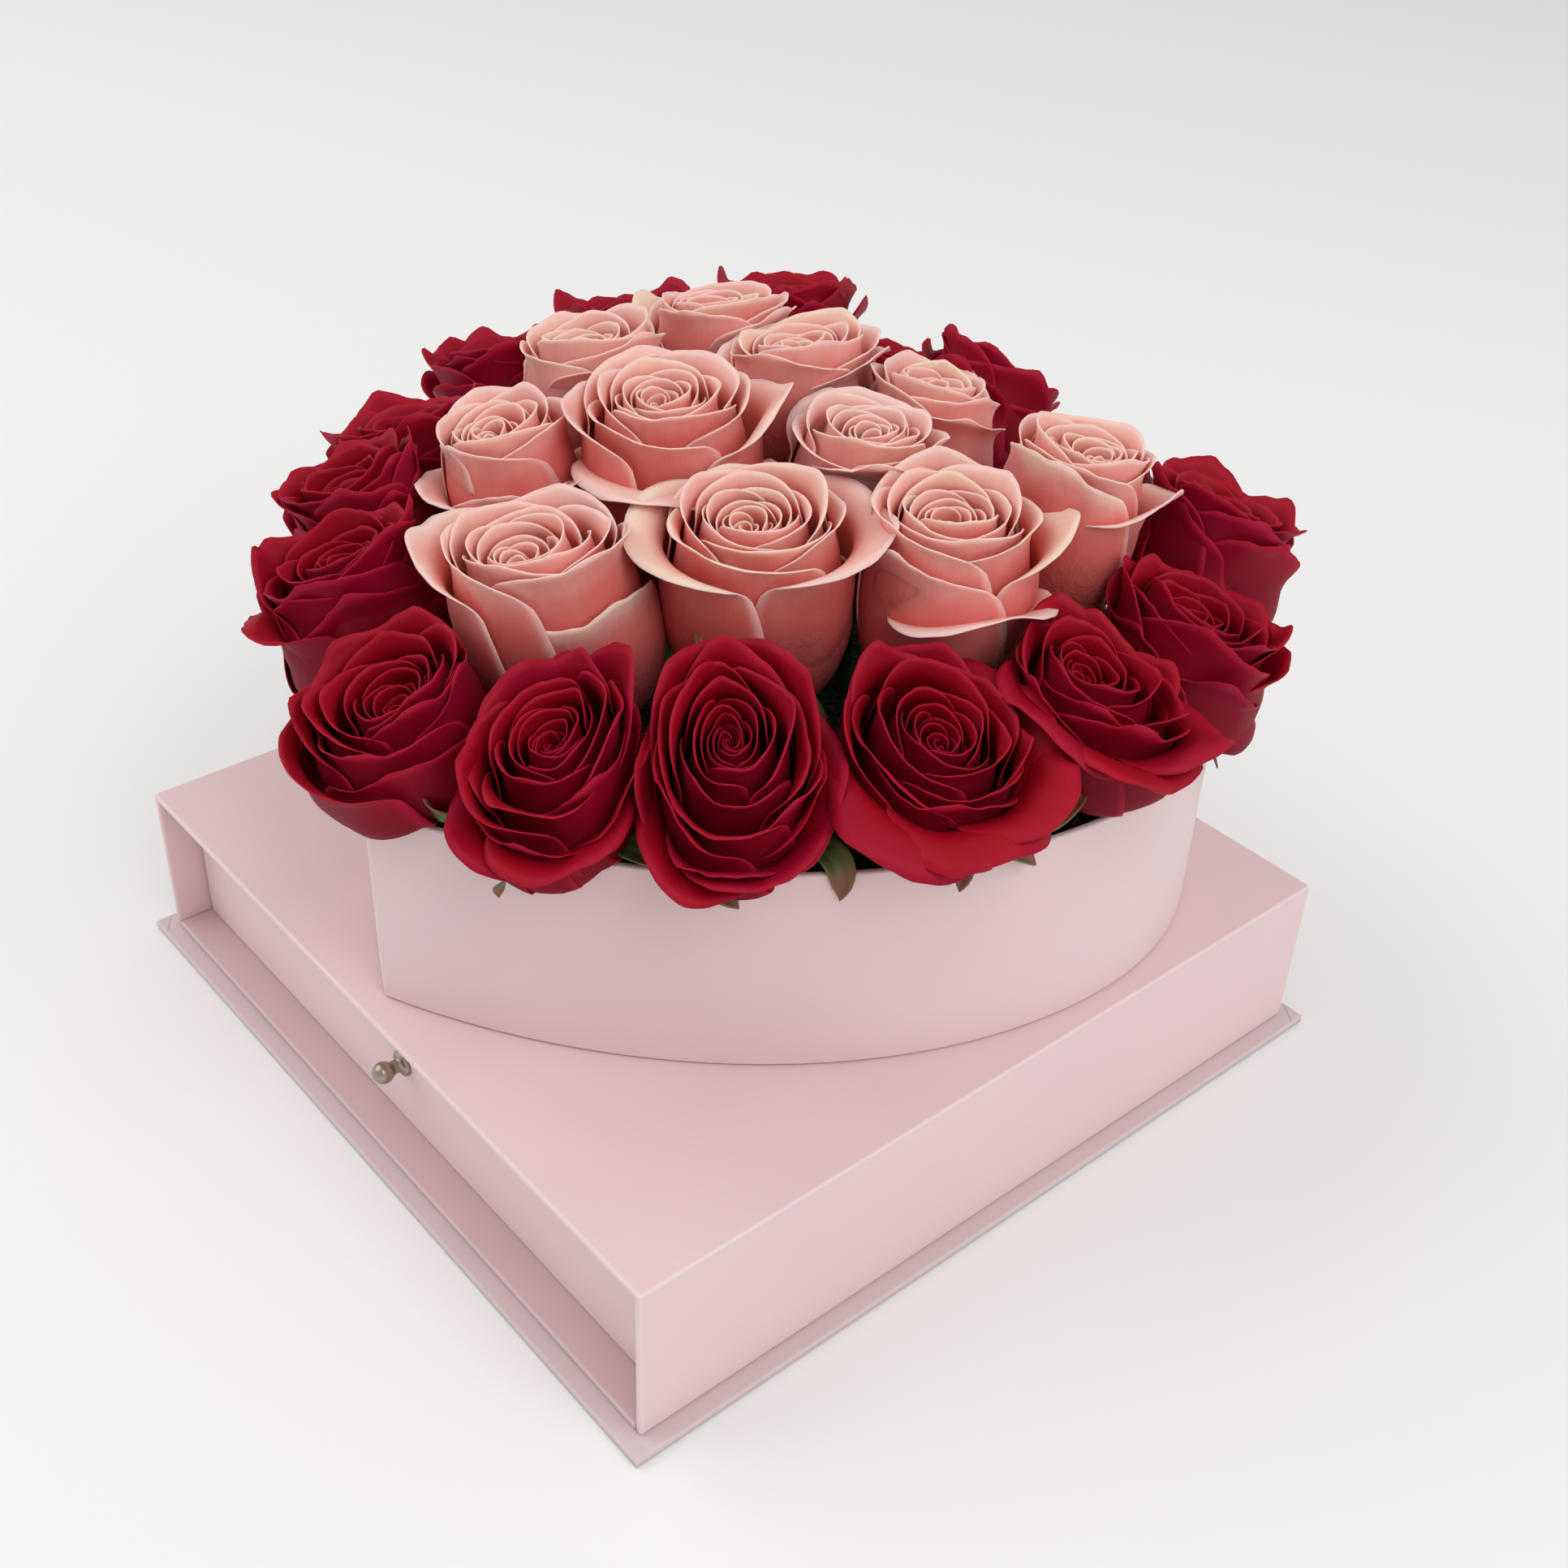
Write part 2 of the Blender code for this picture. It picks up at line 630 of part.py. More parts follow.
def ring_spot(rose, ring, index, jitter):
    """Radius, angle and height of one point on a ring of petals."""
    angle = 2 * math.pi * index / BLOOM_SIDES
    place = index / BLOOM_SIDES * ring.petals + ring.phase
    share = place % 1
    lobe = 1 - abs(2 * share - 1) ** LOBE_SHARPNESS
    change = 1 + PETAL_JITTER * jitter[int(place) % len(jitter)]
    radius = ring.radius + ring.swirl * (share - 0.5) + ring.reach * lobe * change
    height = ring.height + ring.lift * lobe * change
    size = rose.size
    return radius * rose.kind.radius * size, angle, height * rose.kind.height * size


def bloom_mesh(rose, friends):
    """A bloom: layers of lobed petals, each rising from the hollow round the next."""
    draw = random.Random(f"{SEED} {rose.name}")
    jitter = [draw.uniform(-1, 1) for _ in range(5)]
    bm = bmesh.new()
    loops = []
    for ring in rose.kind.rings:
        spots = [ring_spot(rose, ring, index, jitter) for index in range(BLOOM_SIDES)]
        loops.append([bm.verts.new(in_world(rose, *spot)) for spot in spots])
    for band, (lower, upper) in enumerate(zip(loops, loops[1:])):
        triangle_band(bm, lower, upper, falling=band in FALLING_RINGS)
    height = rose.kind.height * rose.size
    bottom = bm.verts.new(in_world(rose, 0, 0, rose.kind.rings[0].height * height))
    top = bm.verts.new(in_world(rose, 0, 0, (rose.kind.rings[-1].height - BUD_DIMPLE) * height))
    for index in range(BLOOM_SIDES):
        bm.faces.new((bottom, loops[0][index - 1], loops[0][index]))
        bm.faces.new((top, loops[-1][index], loops[-1][index - 1]))
    for vert in bm.verts:
        vert.co = settled(vert.co, rose, BLOOM_OVER_RIM, friends)
    lift_edges(bm, BLOOM_OVER_RIM)
    return bm


def triangle_band(bm, lower, upper, falling):
    """Triangles between two rings, cut alike on both faces of a petal."""
    for index in range(len(lower)):
        after = (index + 1) % len(lower)
        if falling:
            bm.faces.new((lower[index], lower[after], upper[index]))
            bm.faces.new((lower[after], upper[after], upper[index]))
        else:
            bm.faces.new((lower[index], lower[after], upper[after]))
            bm.faces.new((lower[index], upper[after], upper[index]))


def green_mesh(rose, bloom):
    """Stem, calyx and five sepals in one body, under the bloom's surface."""
    bm = bmesh.new()
    base, axis, foot = base_of(rose), axis_of(rose), foot_of(rose)
    up = Vector((0, 0, 1))
    low = base - axis * CALYX_LENGTH
    mid = base - axis * CALYX_LENGTH * 0.45
    high = base + axis * CALYX_TOP
    loops = [
        stem_ring(bm, foot, up, FOAM_TOP - STEM_DEPTH, STEM_RADIUS),
        stem_ring(bm, foot, up, FOAM_TOP + 2 * GAP, STEM_RADIUS),
        stem_ring(bm, low, axis, low.z, STEM_RADIUS),
        stem_ring(bm, mid, axis, mid.z, CALYX_RADIUS),
        stem_ring(bm, high, axis, high.z, CALYX_RADIUS),
    ]
    bridge(bm, loops)
    bm.faces.new(loops[0])
    bm.faces.new(loops[-1])
    for vert in loops[2] + loops[3] + loops[4]:
        vert.co = over_rim(vert.co, GREEN_OVER_RIM)
    bm.normal_update()
    collar = set(loops[-1]) | set(loops[-2])
    for face in [face for face in bm.faces if len(face.verts) == 4 and set(face.verts) <= collar]:
        grow_sepal(bm, rose, face, set(loops[-1]), bloom)
    return bm


def under_bloom(spot, low, high, rose, bloom):
    """Fit the next point of a sepal's lower face over the rim and under the bloom.

    The stretch starts at low on the sepal's lower face and at high on its upper
    one.  Where the bloom leaves it no room there is no such point.
    """
    point = settled(spot, rose, GREEN_OVER_RIM, ())
    floor, ceiling = FOAM_TOP, HEART_RIM + rose.kind.height
    for share in (0.25, 0.5, 0.75, 1.0):
        below = low.lerp(point, share)
        floor = max(floor, low.z + (shelf_at(below, GREEN_OVER_RIM) - low.z) / share)
        hit = bloom.ray_cast(Vector((below.x, below.y, FOAM_TOP)), Vector((0, 0, 1)))[0]
        if hit:
            rise = (hit.z - SEPAL_UNDER_BLOOM - high.z) / share
            ceiling = min(ceiling, high.z + rise - SEPAL_THICK)
    crowded = (clear_of_roses(spot, rose, ()) - spot).length > SEPAL_CROWDED
    if floor > ceiling or crowded:
        return None
    return Vector((point.x, point.y, min(max(point.z, floor), ceiling)))


def grow_sepal(bm, rose, face, tops, bloom):
    """Draw a narrow sepal out of one side of the calyx, under the bloom, as far as it fits."""
    axis = axis_of(rose)
    out = face.calc_center_median() - base_of(rose)
    out = (out - axis * out.dot(axis)).normalized()
    side = axis.cross(out)
    last = 0.0
    for share, width in SEPAL_STATIONS:
        half = side * SEPAL_WIDTH * width / 2
        spots = [below_belly(rose, out, share) + across for across in (-half, half)]
        lower, upper = lower_and_upper(face, tops, side)
        fitted = [
            under_bloom(spot, low.co, high.co, rose, bloom)
            for spot, low, high in zip(spots, lower, upper)
        ]
        if None in fitted:
            break
        face = bmesh.ops.extrude_discrete_faces(bm, faces=[face])["faces"][0]
        roots = {vert: root_of(vert, face) for vert in face.verts}
        tops = {vert for vert in face.verts if roots[vert] in tops}
        lower, upper = lower_and_upper(face, tops, side)
        for spot, low, high in zip(fitted, lower, upper):
            low.co = spot
            high.co = spot + Vector((0, 0, SEPAL_THICK))
        for left, right in (lower, upper):
            split_blade(roots, left, right)
        last = share
    if last:
        low, high = ((left.co + right.co) / 2 for left, right in (lower, upper))
        tip = under_bloom(below_belly(rose, out, last + SEPAL_TIP), low, high, rose, bloom)
        end = bmesh.ops.poke(bm, faces=[face])["verts"][0]
        end.co = tip or end.co + out * SEPAL_THICK


def lower_and_upper(face, tops, side):
    """The corners of a sepal's end, in order across it: the lower two, the upper two."""
    across = sorted(face.verts, key=lambda vert: vert.co.dot(side))
    return [vert for vert in across if vert not in tops], [vert for vert in across if vert in tops]


def root_of(vert, face):
    """The vertex that an extruded face's corner was drawn out of."""
    ends = (edge.other_vert(vert) for edge in vert.link_edges)
    return next(end for end in ends if end not in face.verts)


def split_blade(roots, left, right):
    """Cut one face of a sepal's new stretch in two, alike on its upper and lower face."""
    corners = {left, right, roots[left], roots[right]}
    quad = next(face for face in left.link_faces if set(face.verts) == corners)
    bmesh.utils.face_split(quad, roots[left], right)


def below_belly(rose, out, share):
    """A point just under the bloom, a share of the way from its base to its belly."""
    radius = rose.kind.radius * rose.size
    height = rose.kind.height * rose.size
    root, belly = rose.kind.rings[0], rose.kind.rings[1]
    reach = (root.radius + (belly.radius - root.radius) * share) * radius
    level = (root.height + (belly.height - root.height) * min(share, 1.0)) * height
    return base_of(rose) + out * reach + axis_of(rose) * (level - SEPAL_BELOW_BELLY)


def join_blooms(first, second):
    """Fuse two blooms that grow into each other."""
    union = first.modifiers.new("join", "BOOLEAN")
    union.operation = "UNION"
    union.object = second
    depsgraph = bpy.context.evaluated_depsgraph_get()
    joined = bpy.data.meshes.new_from_object(first.evaluated_get(depsgraph))
    fill_sealed_hollows(joined)
    first.modifiers.clear()
    first.data = joined
    bpy.data.objects.remove(second, do_unlink=True)


def fill_sealed_hollows(mesh):
    """Keep only the outer surface, the one that holds the topmost point."""
    bm = bmesh.new()
    bm.from_mesh(mesh)
    outer = {max(bm.verts, key=lambda vert: vert.co.z)}
    edge_of_growth = set(outer)
    while edge_of_growth:
        near = {edge.other_vert(vert) for vert in edge_of_growth for edge in vert.link_edges}
        edge_of_growth = near - outer
        outer |= near
    inner = [vert for vert in bm.verts if vert not in outer]
    bmesh.ops.delete(bm, geom=inner, context="VERTS")
    bmesh.ops.dissolve_degenerate(bm, dist=WELD, edges=bm.edges)
    bm.to_mesh(mesh)
    bm.free()


def add_roses():
    """Every bloom with its green part, and the joined pairs of blooms."""
    blooms = {}
    for rose in ROSES:
        friends = [name for pair in JOINED_BLOOMS if rose.name in pair for name in pair]
        friends = friends or [rose.name]
        bloom = bloom_mesh(rose, friends)
        green = green_mesh(rose, BVHTree.FromBMesh(bloom))
        for shape in (bloom, green):
            bmesh.ops.translate(shape, verts=shape.verts, vec=-base_of(rose))
        finish = rose.kind.material
        blooms[rose.name] = add_object(f"{rose.name}_bloom", bloom, finish, base_of(rose))
        add_object(f"{rose.name}_green", green, "leaf green", base_of(rose))
    for first, second in JOINED_BLOOMS:
        join_blooms(blooms[first], blooms[second])
        blooms[first].name = f"{first}_and_{second[-2:]}_blooms"


OUTLINE = heart_outline()
ROSES = read_plan()


def main():
    """Model the whole piece, from the base board to the blooms."""
    clear_scene()
    add_base()
    add_sleeve()
    add_drawer()
    add_heart_box()
    add_roses()


main()
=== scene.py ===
"""A heart-shaped box of cut roses on a drawer box, dressed and set up for its portrait.

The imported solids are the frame.  Boards that are right as they are get a better
finish, and the wrapped box, the heart's wall, the knob, the stems and every bloom
are modelled again in full detail in the place of their solids.
"""

import logging
import math
import random
from collections.abc import Iterator
from dataclasses import dataclass, field
from enum import Enum

import bmesh
import bpy
import numpy as np
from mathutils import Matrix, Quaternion, Vector


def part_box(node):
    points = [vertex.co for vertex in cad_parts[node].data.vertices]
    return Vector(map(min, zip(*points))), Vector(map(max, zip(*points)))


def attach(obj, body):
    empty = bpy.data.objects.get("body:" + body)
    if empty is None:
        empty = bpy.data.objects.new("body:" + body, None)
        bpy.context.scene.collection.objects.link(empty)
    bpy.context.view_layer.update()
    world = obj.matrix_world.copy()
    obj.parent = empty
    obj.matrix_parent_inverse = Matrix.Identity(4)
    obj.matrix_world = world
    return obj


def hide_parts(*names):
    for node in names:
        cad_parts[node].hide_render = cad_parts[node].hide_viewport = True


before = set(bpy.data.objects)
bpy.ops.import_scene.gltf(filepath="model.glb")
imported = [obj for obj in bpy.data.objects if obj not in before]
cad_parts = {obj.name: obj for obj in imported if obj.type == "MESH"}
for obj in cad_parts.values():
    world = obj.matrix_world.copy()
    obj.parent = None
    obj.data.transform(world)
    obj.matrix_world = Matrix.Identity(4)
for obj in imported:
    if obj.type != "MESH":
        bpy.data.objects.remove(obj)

LOG = logging.getLogger("flower box")
MM = 0.001
BOX_BODY = "box"
DRAWER_BODY = "drawer"
Number = float | int


class Wire:
    """A shader socket that can be written in an expression like a number."""

    def __init__(self, paint: "Paint", socket: bpy.types.NodeSocket) -> None:
        """Keep the socket with the material that it belongs to."""
        self.paint = paint
        self.socket = socket

    def __add__(self, other: "Wire | Number") -> "Wire":
        """Return self + other."""
        return self.paint.maths("ADD", self, other)

    def __sub__(self, other: "Wire | Number") -> "Wire":
        """Return self - other."""
        return self.paint.maths("SUBTRACT", self, other)

    def __rsub__(self, other: "Wire | Number") -> "Wire":
        """Return other - self."""
        return self.paint.maths("SUBTRACT", other, self)

    def __mul__(self, other: "Wire | Number") -> "Wire":
        """Return self * other."""
        return self.paint.maths("MULTIPLY", self, other)

    def __abs__(self) -> "Wire":
        """Return the absolute value."""
        return self.paint.maths("ABSOLUTE", self, 0.0)

    __radd__ = __add__
    __rmul__ = __mul__


Value = Wire | Number | tuple


class Paint:
    """One material's nodes round its Principled shader."""

    def __init__(self, name: str) -> None:
        """Make the material.

        Args:
            name: The material's name.
        """
        self.material = bpy.data.materials.new(name)
        self.material.use_nodes = True
        self.tree = self.material.node_tree
        self.shader = self.tree.nodes["Principled BSDF"]

    def node(self, kind: str, settings: dict, inputs: dict, output: int | str = 0) -> Wire:
        """Add any node.

        Args:
            kind: The node's type.
            settings: Its options, set first.
            inputs: Values or links for its sockets, by name or index.
            output: The output to return.

        Returns:
            The chosen output.
        """
        made = self.tree.nodes.new(kind)
        for name, value in settings.items():
            setattr(made, name, value)
        for name, value in inputs.items():
            self.feed(made.inputs[name], value)
        return Wire(self, made.outputs[output])

    def feed(self, socket: bpy.types.NodeSocket, value: Value) -> None:
        """Link a wire to a socket, or set its value there."""
        if isinstance(value, Wire):
            self.tree.links.new(value.socket, socket)
        elif isinstance(value, tuple) and socket.type == "RGBA":
            socket.default_value = (*value, 1.0)
        else:
            socket.default_value = value

    def maths(self, operation: str, first: Value, second: Value) -> Wire:
        """Add a Math node for two numbers."""
        return self.node("ShaderNodeMath", {"operation": operation}, {0: first, 1: second})

    def mix(self, share: Value, first: Value, second: Value) -> Wire:
        """Mix two colours.

        Args:
            share: How much of the second colour, 0 to 1.
            first: The colour at 0.
            second: The colour at 1.

        Returns:
            The mixed colour.
        """
        settings = {"data_type": "RGBA", "clamp_factor": True}
        return self.node("ShaderNodeMix", settings, {0: share, 6: first, 7: second}, 2)

    def rise(self, value: Value, low: Value, high: Value) -> Wire:
        """Return 0 below low, 1 above high, and a smooth step between them."""
        settings = {"interpolation_type": "SMOOTHSTEP"}
        return self.node("ShaderNodeMapRange", settings, {0: value, 1: low, 2: high})

    def place(self) -> Wire:
        """Return the object coordinates, in metres."""
        return self.node("ShaderNodeTexCoord", {}, {}, "Object")

    def attribute(self, name: str, output: str) -> Wire:
        """Return one output of a mesh attribute."""
        return self.node("ShaderNodeAttribute", {"attribute_name": name}, {}, output)

    def parts(self, vector: Wire) -> tuple[Wire, Wire, Wire]:
        """Split a vector into its three numbers."""
        first = self.node("ShaderNodeSeparateXYZ", {}, {0: vector}, 0)
        node = first.socket.node
        return first, Wire(self, node.outputs[1]), Wire(self, node.outputs[2])

    def joined(self, across: Value, up: Value, out: Value) -> Wire:
        """Make a vector of three numbers."""
        return self.node("ShaderNodeCombineXYZ", {}, {0: across, 1: up, 2: out})

    def grain(self, where: Wire, scale: float, detail: float = 2.0) -> Wire:
        """Return a noise from 0 to 1, with features of about 1 / scale."""
        inputs = {"Vector": where, "Scale": scale, "Detail": detail}
        return self.node("ShaderNodeTexNoise", {}, inputs)

    def bumped(self, height: Wire, depth: float) -> None:
        """Raise the surface by a height from 0 to 1, times a depth in metres."""
        inputs = {"Strength": 1.0, "Distance": depth, "Height": height}
        self.surface(Normal=self.node("ShaderNodeBump", {}, inputs))

    def surface(self, **sockets: Value) -> None:
        """Set or link sockets of the shader, with _ for each space in their names."""
        for name, value in sockets.items():
            self.feed(self.shader.inputs[name.replace("_", " ")], value)


Colour = tuple[float, float, float]


@dataclass(frozen=True)
class WrappedPaper:
    """Matte paper glued round a board, paler and a little worn along its edges.

    Attributes:
        name: The material's name.
        colour: The paper's colour.
        worn: Its colour along the edges.
        low: Lowest corner of the wrapped board.
        high: Highest corner of the wrapped board.
        edge: How wide the worn edge is.
        low_grey: The greyed colour that it takes on low down.
        low_grey_to: How far up it is greyed.
    """

    name: str
    colour: Colour
    worn: Colour
    low: Vector
    high: Vector
    edge: float = 1.1 * MM
    low_grey: Colour = (0.42, 0.38, 0.38)
    low_grey_to: float = 0.0

    FIBRE_SCALE = 1400.0
    CLOUD_SCALE = 22.0
    FIBRE_DEPTH = 0.02 * MM
    SHADE = 0.94  # brightness of the paper's darker clouds
    MOTTLE = (0.5, 0.35)  # how much of the shade the clouds and the fibres bring
    LEAST_WORN = 0.1
    FIBRE_WORN = 0.6  # further wear where the fibres stand up
    LOW_GREY_SHARE = 0.8
    LOW_GREY_WAVES = 0.6 * MM

    def make(self) -> bpy.types.Material:
        """Return the paper as a material."""
        paint = Paint(self.name)
        where = paint.place()
        fibre = paint.grain(where, self.FIBRE_SCALE, 3.0)
        cloud = paint.grain(where, self.CLOUD_SCALE)
        clouds, fibres = self.MOTTLE
        shade = tuple(channel * self.SHADE for channel in self.colour)
        mottle = paint.rise(cloud, 0.3, 0.7) * clouds + fibre * fibres
        colour = paint.mix(mottle, self.colour, shade)
        wear = self._worn_edges(paint, where) * (self.LEAST_WORN + fibre * self.FIBRE_WORN)
        colour = paint.mix(wear, colour, self.worn)
        # Greyer towards the bottom of the board, up to a wavy line.
        if self.low_grey_to:
            height = paint.parts(where)[2] + cloud * self.LOW_GREY_WAVES
            above_grey = paint.rise(height, self.low_grey_to * 0.7, self.low_grey_to * 1.3)
            colour = paint.mix((1 - above_grey) * self.LOW_GREY_SHARE, colour, self.low_grey)
        paint.surface(Base_Color=colour)
        paint.surface(Roughness=0.52 + fibre * 0.16)
        paint.surface(Sheen_Weight=0.3, Sheen_Roughness=0.5)
        paint.bumped(fibre, self.FIBRE_DEPTH)
        return paint.material

    def _worn_edges(self, paint: Paint, where: Wire) -> Wire:
        """Return 1 along the board's edges and 0 away from them."""
        middle = (self.low + self.high) / 2
        half = (self.high - self.low) / 2
        near = []
        for axis, number in enumerate(paint.parts(where)):
            away = abs(number - middle[axis])
            near.append(paint.rise(away, half[axis] - self.edge, half[axis]))
        across, along, up = near
        return paint.maths("MINIMUM", across * along + along * up + across * up, 1.0)


@dataclass(frozen=True)
class Metal:
    """A polished or plain metal with faint turning marks.

    Attributes:
        name: The material's name.
        colour: The metal's colour.
        roughness: How blurred its reflections are.
    """

    name: str
    colour: Colour
    roughness: float

    MARK_SCALE = 900.0
    MARK_DEPTH = 0.01 * MM
    DULL = 0.8  # brightness of the metal between its marks
    BLUR = 0.12  # roughness that the marks add

    def make(self) -> bpy.types.Material:
        """Return the metal as a material."""
        paint = Paint(self.name)
        marks = paint.grain(paint.place(), self.MARK_SCALE)
        dull = tuple(channel * self.DULL for channel in self.colour)
        paint.surface(Base_Color=paint.mix(marks, self.colour, dull), Metallic=1.0)
        paint.surface(Roughness=self.roughness + marks * self.BLUR)
        paint.bumped(marks, self.MARK_DEPTH)
        return paint.material


@dataclass(frozen=True)
class Crumb:
    """A plain inner material with a grain of its own, such as foam or film.

    Attributes:
        name: The material's name.
        colour: Its main colour.
        pits: The darker colour of its pits or creases, painted shade in the hollows of its grain.
        scale: Pits in a metre.
        depth: How deep the pits are.
        roughness: How matte it is.
    """

    name: str
    colour: Colour
    pits: Colour
    scale: float
    depth: float
    roughness: float

    def make(self) -> bpy.types.Material:
        """Return the foam or film as a material."""
        paint = Paint(self.name)
        pits = paint.rise(paint.grain(paint.place(), self.scale, 4.0), 0.35, 0.65)
        # The pits are darker: painted shade in the hollows that the bump sinks.
        paint.surface(Base_Color=paint.mix(pits, self.pits, self.colour))
        paint.surface(Roughness=self.roughness - pits * 0.08)
        paint.bumped(pits, self.depth)
        return paint.material


@dataclass(frozen=True)
class Petal:
    """One face of a petal: veined, lighter along its edge, and darker towards its root, partly its
    own deeper colour and partly painted shade.

    Attributes:
        name: The material's name.
        root: The colour at the petal's root: partly its own deeper colour, partly painted shade of
            the bloom's depths.
        body: The colour half way up.
        tip: The colour near the rim: partly its own paler colour, partly painted light on the rims
            that face the light.
        edge: The colour of the edge itself.
        tinge: A colour that some of the tips take.
        velvet: Weight of the velvety sheen.
        vein_depth: How deep the veins are.
        fade: How far the palest roses fade towards the edge's colour.
        glow: How much light comes through the petal.
        rim: How clearly the edge shows its own colour.
    """

    name: str
    root: Colour
    body: Colour
    tip: Colour
    edge: Colour
    tinge: Colour
    velvet: float
    vein_depth: float
    fade: float = 0.0
    glow: float = 0.0
    rim: float = 0.85

    CLOUD_SCALE = 90.0
    CREASE_SCALE = 260.0
    VEINS_ACROSS = 16.0
    VEINS_UP = 2.6
    VEIN_BAND = (0.42, 0.62)  # values of the noise between which a vein fades in
    VEIN_TONE = 0.05  # how far a vein darkens the petal
    DARKER = 0.72  # brightness of the darkest vein
    BODY_BAND = (0.15, 0.7)  # shares of the petal's length where the body's colour comes in
    TIP_BAND = (0.72, 1.14)
    TINGED_PETALS = (0.55, 0.95)  # draws between which a petal takes the tinge
    TINGE_BAND = (0.95, 1.2)
    EDGE_BAND = (0.9, 1.03)

    def make(self) -> bpy.types.Material:
        """Return this face of the petals as a material."""
        paint = Paint(self.name)
        spot = paint.attribute("petal_spot", "Vector")
        across, up, draw = paint.parts(spot)
        pale = paint.attribute("rose_pale", "Fac")
        veins = self._veins(paint, across, up, draw)
        cloud = paint.grain(paint.place(), self.CLOUD_SCALE, 3.0)
        # Darker at the root and paler near the rim: partly the petal's own colours, partly painted
        # shade deep in the bloom and painted light on the rims.
        body = paint.mix(paint.rise(up, *self.BODY_BAND), self.root, self.body)
        body = paint.mix(paint.rise(up + cloud * 0.25, *self.TIP_BAND), body, self.tip)
        body = paint.mix(pale * self.fade, body, self.edge)
        tinged = paint.rise(draw, *self.TINGED_PETALS)
        tinged = tinged * paint.rise(up + cloud * 0.3, *self.TINGE_BAND)
        body = paint.mix(tinged * 0.8, body, self.tinge)
        to_edge = paint.maths("MAXIMUM", abs(across), up) + cloud * 0.04
        body = paint.mix(paint.rise(to_edge, *self.EDGE_BAND) * self.rim, body, self.edge)
        dark = tuple(channel * self.DARKER for channel in self.body)
        paint.surface(Base_Color=paint.mix(veins * self.VEIN_TONE, body, dark))
        paint.surface(Roughness=0.5 + cloud * 0.2)
        paint.surface(Sheen_Weight=self.velvet, Sheen_Roughness=0.4)
        paint.surface(Sheen_Tint=self.edge, Specular_IOR_Level=0.18)
        paint.surface(Subsurface_Weight=self.glow, Subsurface_Scale=3 * MM)
        paint.surface(Subsurface_Radius=(1.0, 0.35, 0.28))
        paint.bumped(veins * 0.4 + self._wrinkles(paint, up), self.vein_depth)
        return paint.material

    def _wrinkles(self, paint: Paint, up: Wire) -> Wire:
        """Return the leathery wrinkles of a petal's lower half."""
        creases = abs(paint.grain(paint.place(), self.CREASE_SCALE, 3.0) - 0.5)
        return (1 - paint.rise(creases, 0.0, 0.09)) * (1 - paint.rise(up, 0.35, 0.75))

    def _veins(self, paint: Paint, across: Wire, up: Wire, draw: Wire) -> Wire:
        """Return fine veins that run up the petal and fan out towards its rim."""
        fanned = across * (1.25 - up * 0.45)
        where = paint.joined(fanned * self.VEINS_ACROSS, up * self.VEINS_UP, draw * 40.0)
        return paint.rise(paint.grain(where, 1.0, 4.0), *self.VEIN_BAND)


@dataclass(frozen=True)
class Leaf:
    """Fleshy green of stems and sepals, lighter along the rib and dry at the tips.

    Attributes:
        name: The material's name.
        colour: The leaf's green.
        rib: The lighter green along its middle.
        dry: The colour of the dried tips.
    """

    name: str
    colour: Colour
    rib: Colour
    dry: Colour

    CLOUD_SCALE = 260.0
    CLOUD_DEPTH = 0.12 * MM
    RIB_BAND = (0.05, 0.3)  # shares across the leaf between which the rib fades out
    DRY_BAND = (0.9, 1.12)  # shares of its length between which the dry tip comes in

    def make(self) -> bpy.types.Material:
        """Return the green as a material."""
        paint = Paint(self.name)
        across, up, draw = paint.parts(paint.attribute("petal_spot", "Vector"))
        cloud = paint.grain(paint.place(), self.CLOUD_SCALE, 3.0)
        middle = 1 - paint.rise(abs(across), *self.RIB_BAND)
        colour = paint.mix(paint.rise(cloud, 0.35, 0.7) * 0.5 + middle * 0.4, self.colour, self.rib)
        dried = paint.rise(up + cloud * 0.25 + draw * 0.12, *self.DRY_BAND)
        paint.surface(Base_Color=paint.mix(dried, colour, self.dry))
        paint.surface(Roughness=0.5 + cloud * 0.15)
        paint.bumped(cloud, self.CLOUD_DEPTH)
        return paint.material


def finished_piece(name: str, bm: bmesh.types.BMesh, finishes: list) -> bpy.types.Object:
    """Turn a bmesh, drawn in place, into a smooth-shaded piece at the origin.

    Args:
        name: The piece's name.
        bm: Its shape, which is freed.
        finishes: Materials for its slots.

    Returns:
        The new object.
    """
    mesh = bpy.data.meshes.new(name)
    bm.to_mesh(mesh)
    bm.free()
    mesh.shade_smooth()
    for finish in finishes:
        mesh.materials.append(finish)
    piece = bpy.data.objects.new(name, mesh)
    bpy.context.scene.collection.objects.link(piece)
    return piece


def cube_between(low: Vector, high: Vector) -> bmesh.types.BMesh:
    """Make a box between two corners."""
    bm = bmesh.new()
    bmesh.ops.create_cube(bm, size=1.0)
    for vert in bm.verts:
        vert.co = (low + high) / 2 + vert.co * (high - low)
    return bm


def give_wall(piece: bpy.types.Object, thick: float, middle: bool = False) -> bpy.types.Modifier:
    """Give a sheet its thickness.

    Args:
        piece: The piece, still an open sheet.
        thick: Its thickness.
        middle: Whether the sheet lies in the middle of the wall, and not on its outside.

    Returns:
        The modifier.
    """
    wall = piece.modifiers.new("thickness", "SOLIDIFY")
    wall.thickness = thick
    wall.offset = 0.0 if middle else -1.0
    wall.use_even_offset = not middle
    return wall


def round_edges(piece: bpy.types.Object, width: float, segments: int = 3) -> None:
    """Round a piece's sharp edges as folded paper does."""
    bevel = piece.modifiers.new("rounded edges", "BEVEL")
    bevel.width = width
    bevel.segments = segments
    bevel.limit_method = "ANGLE"
    bevel.angle_limit = math.radians(40)
    bevel.harden_normals = True


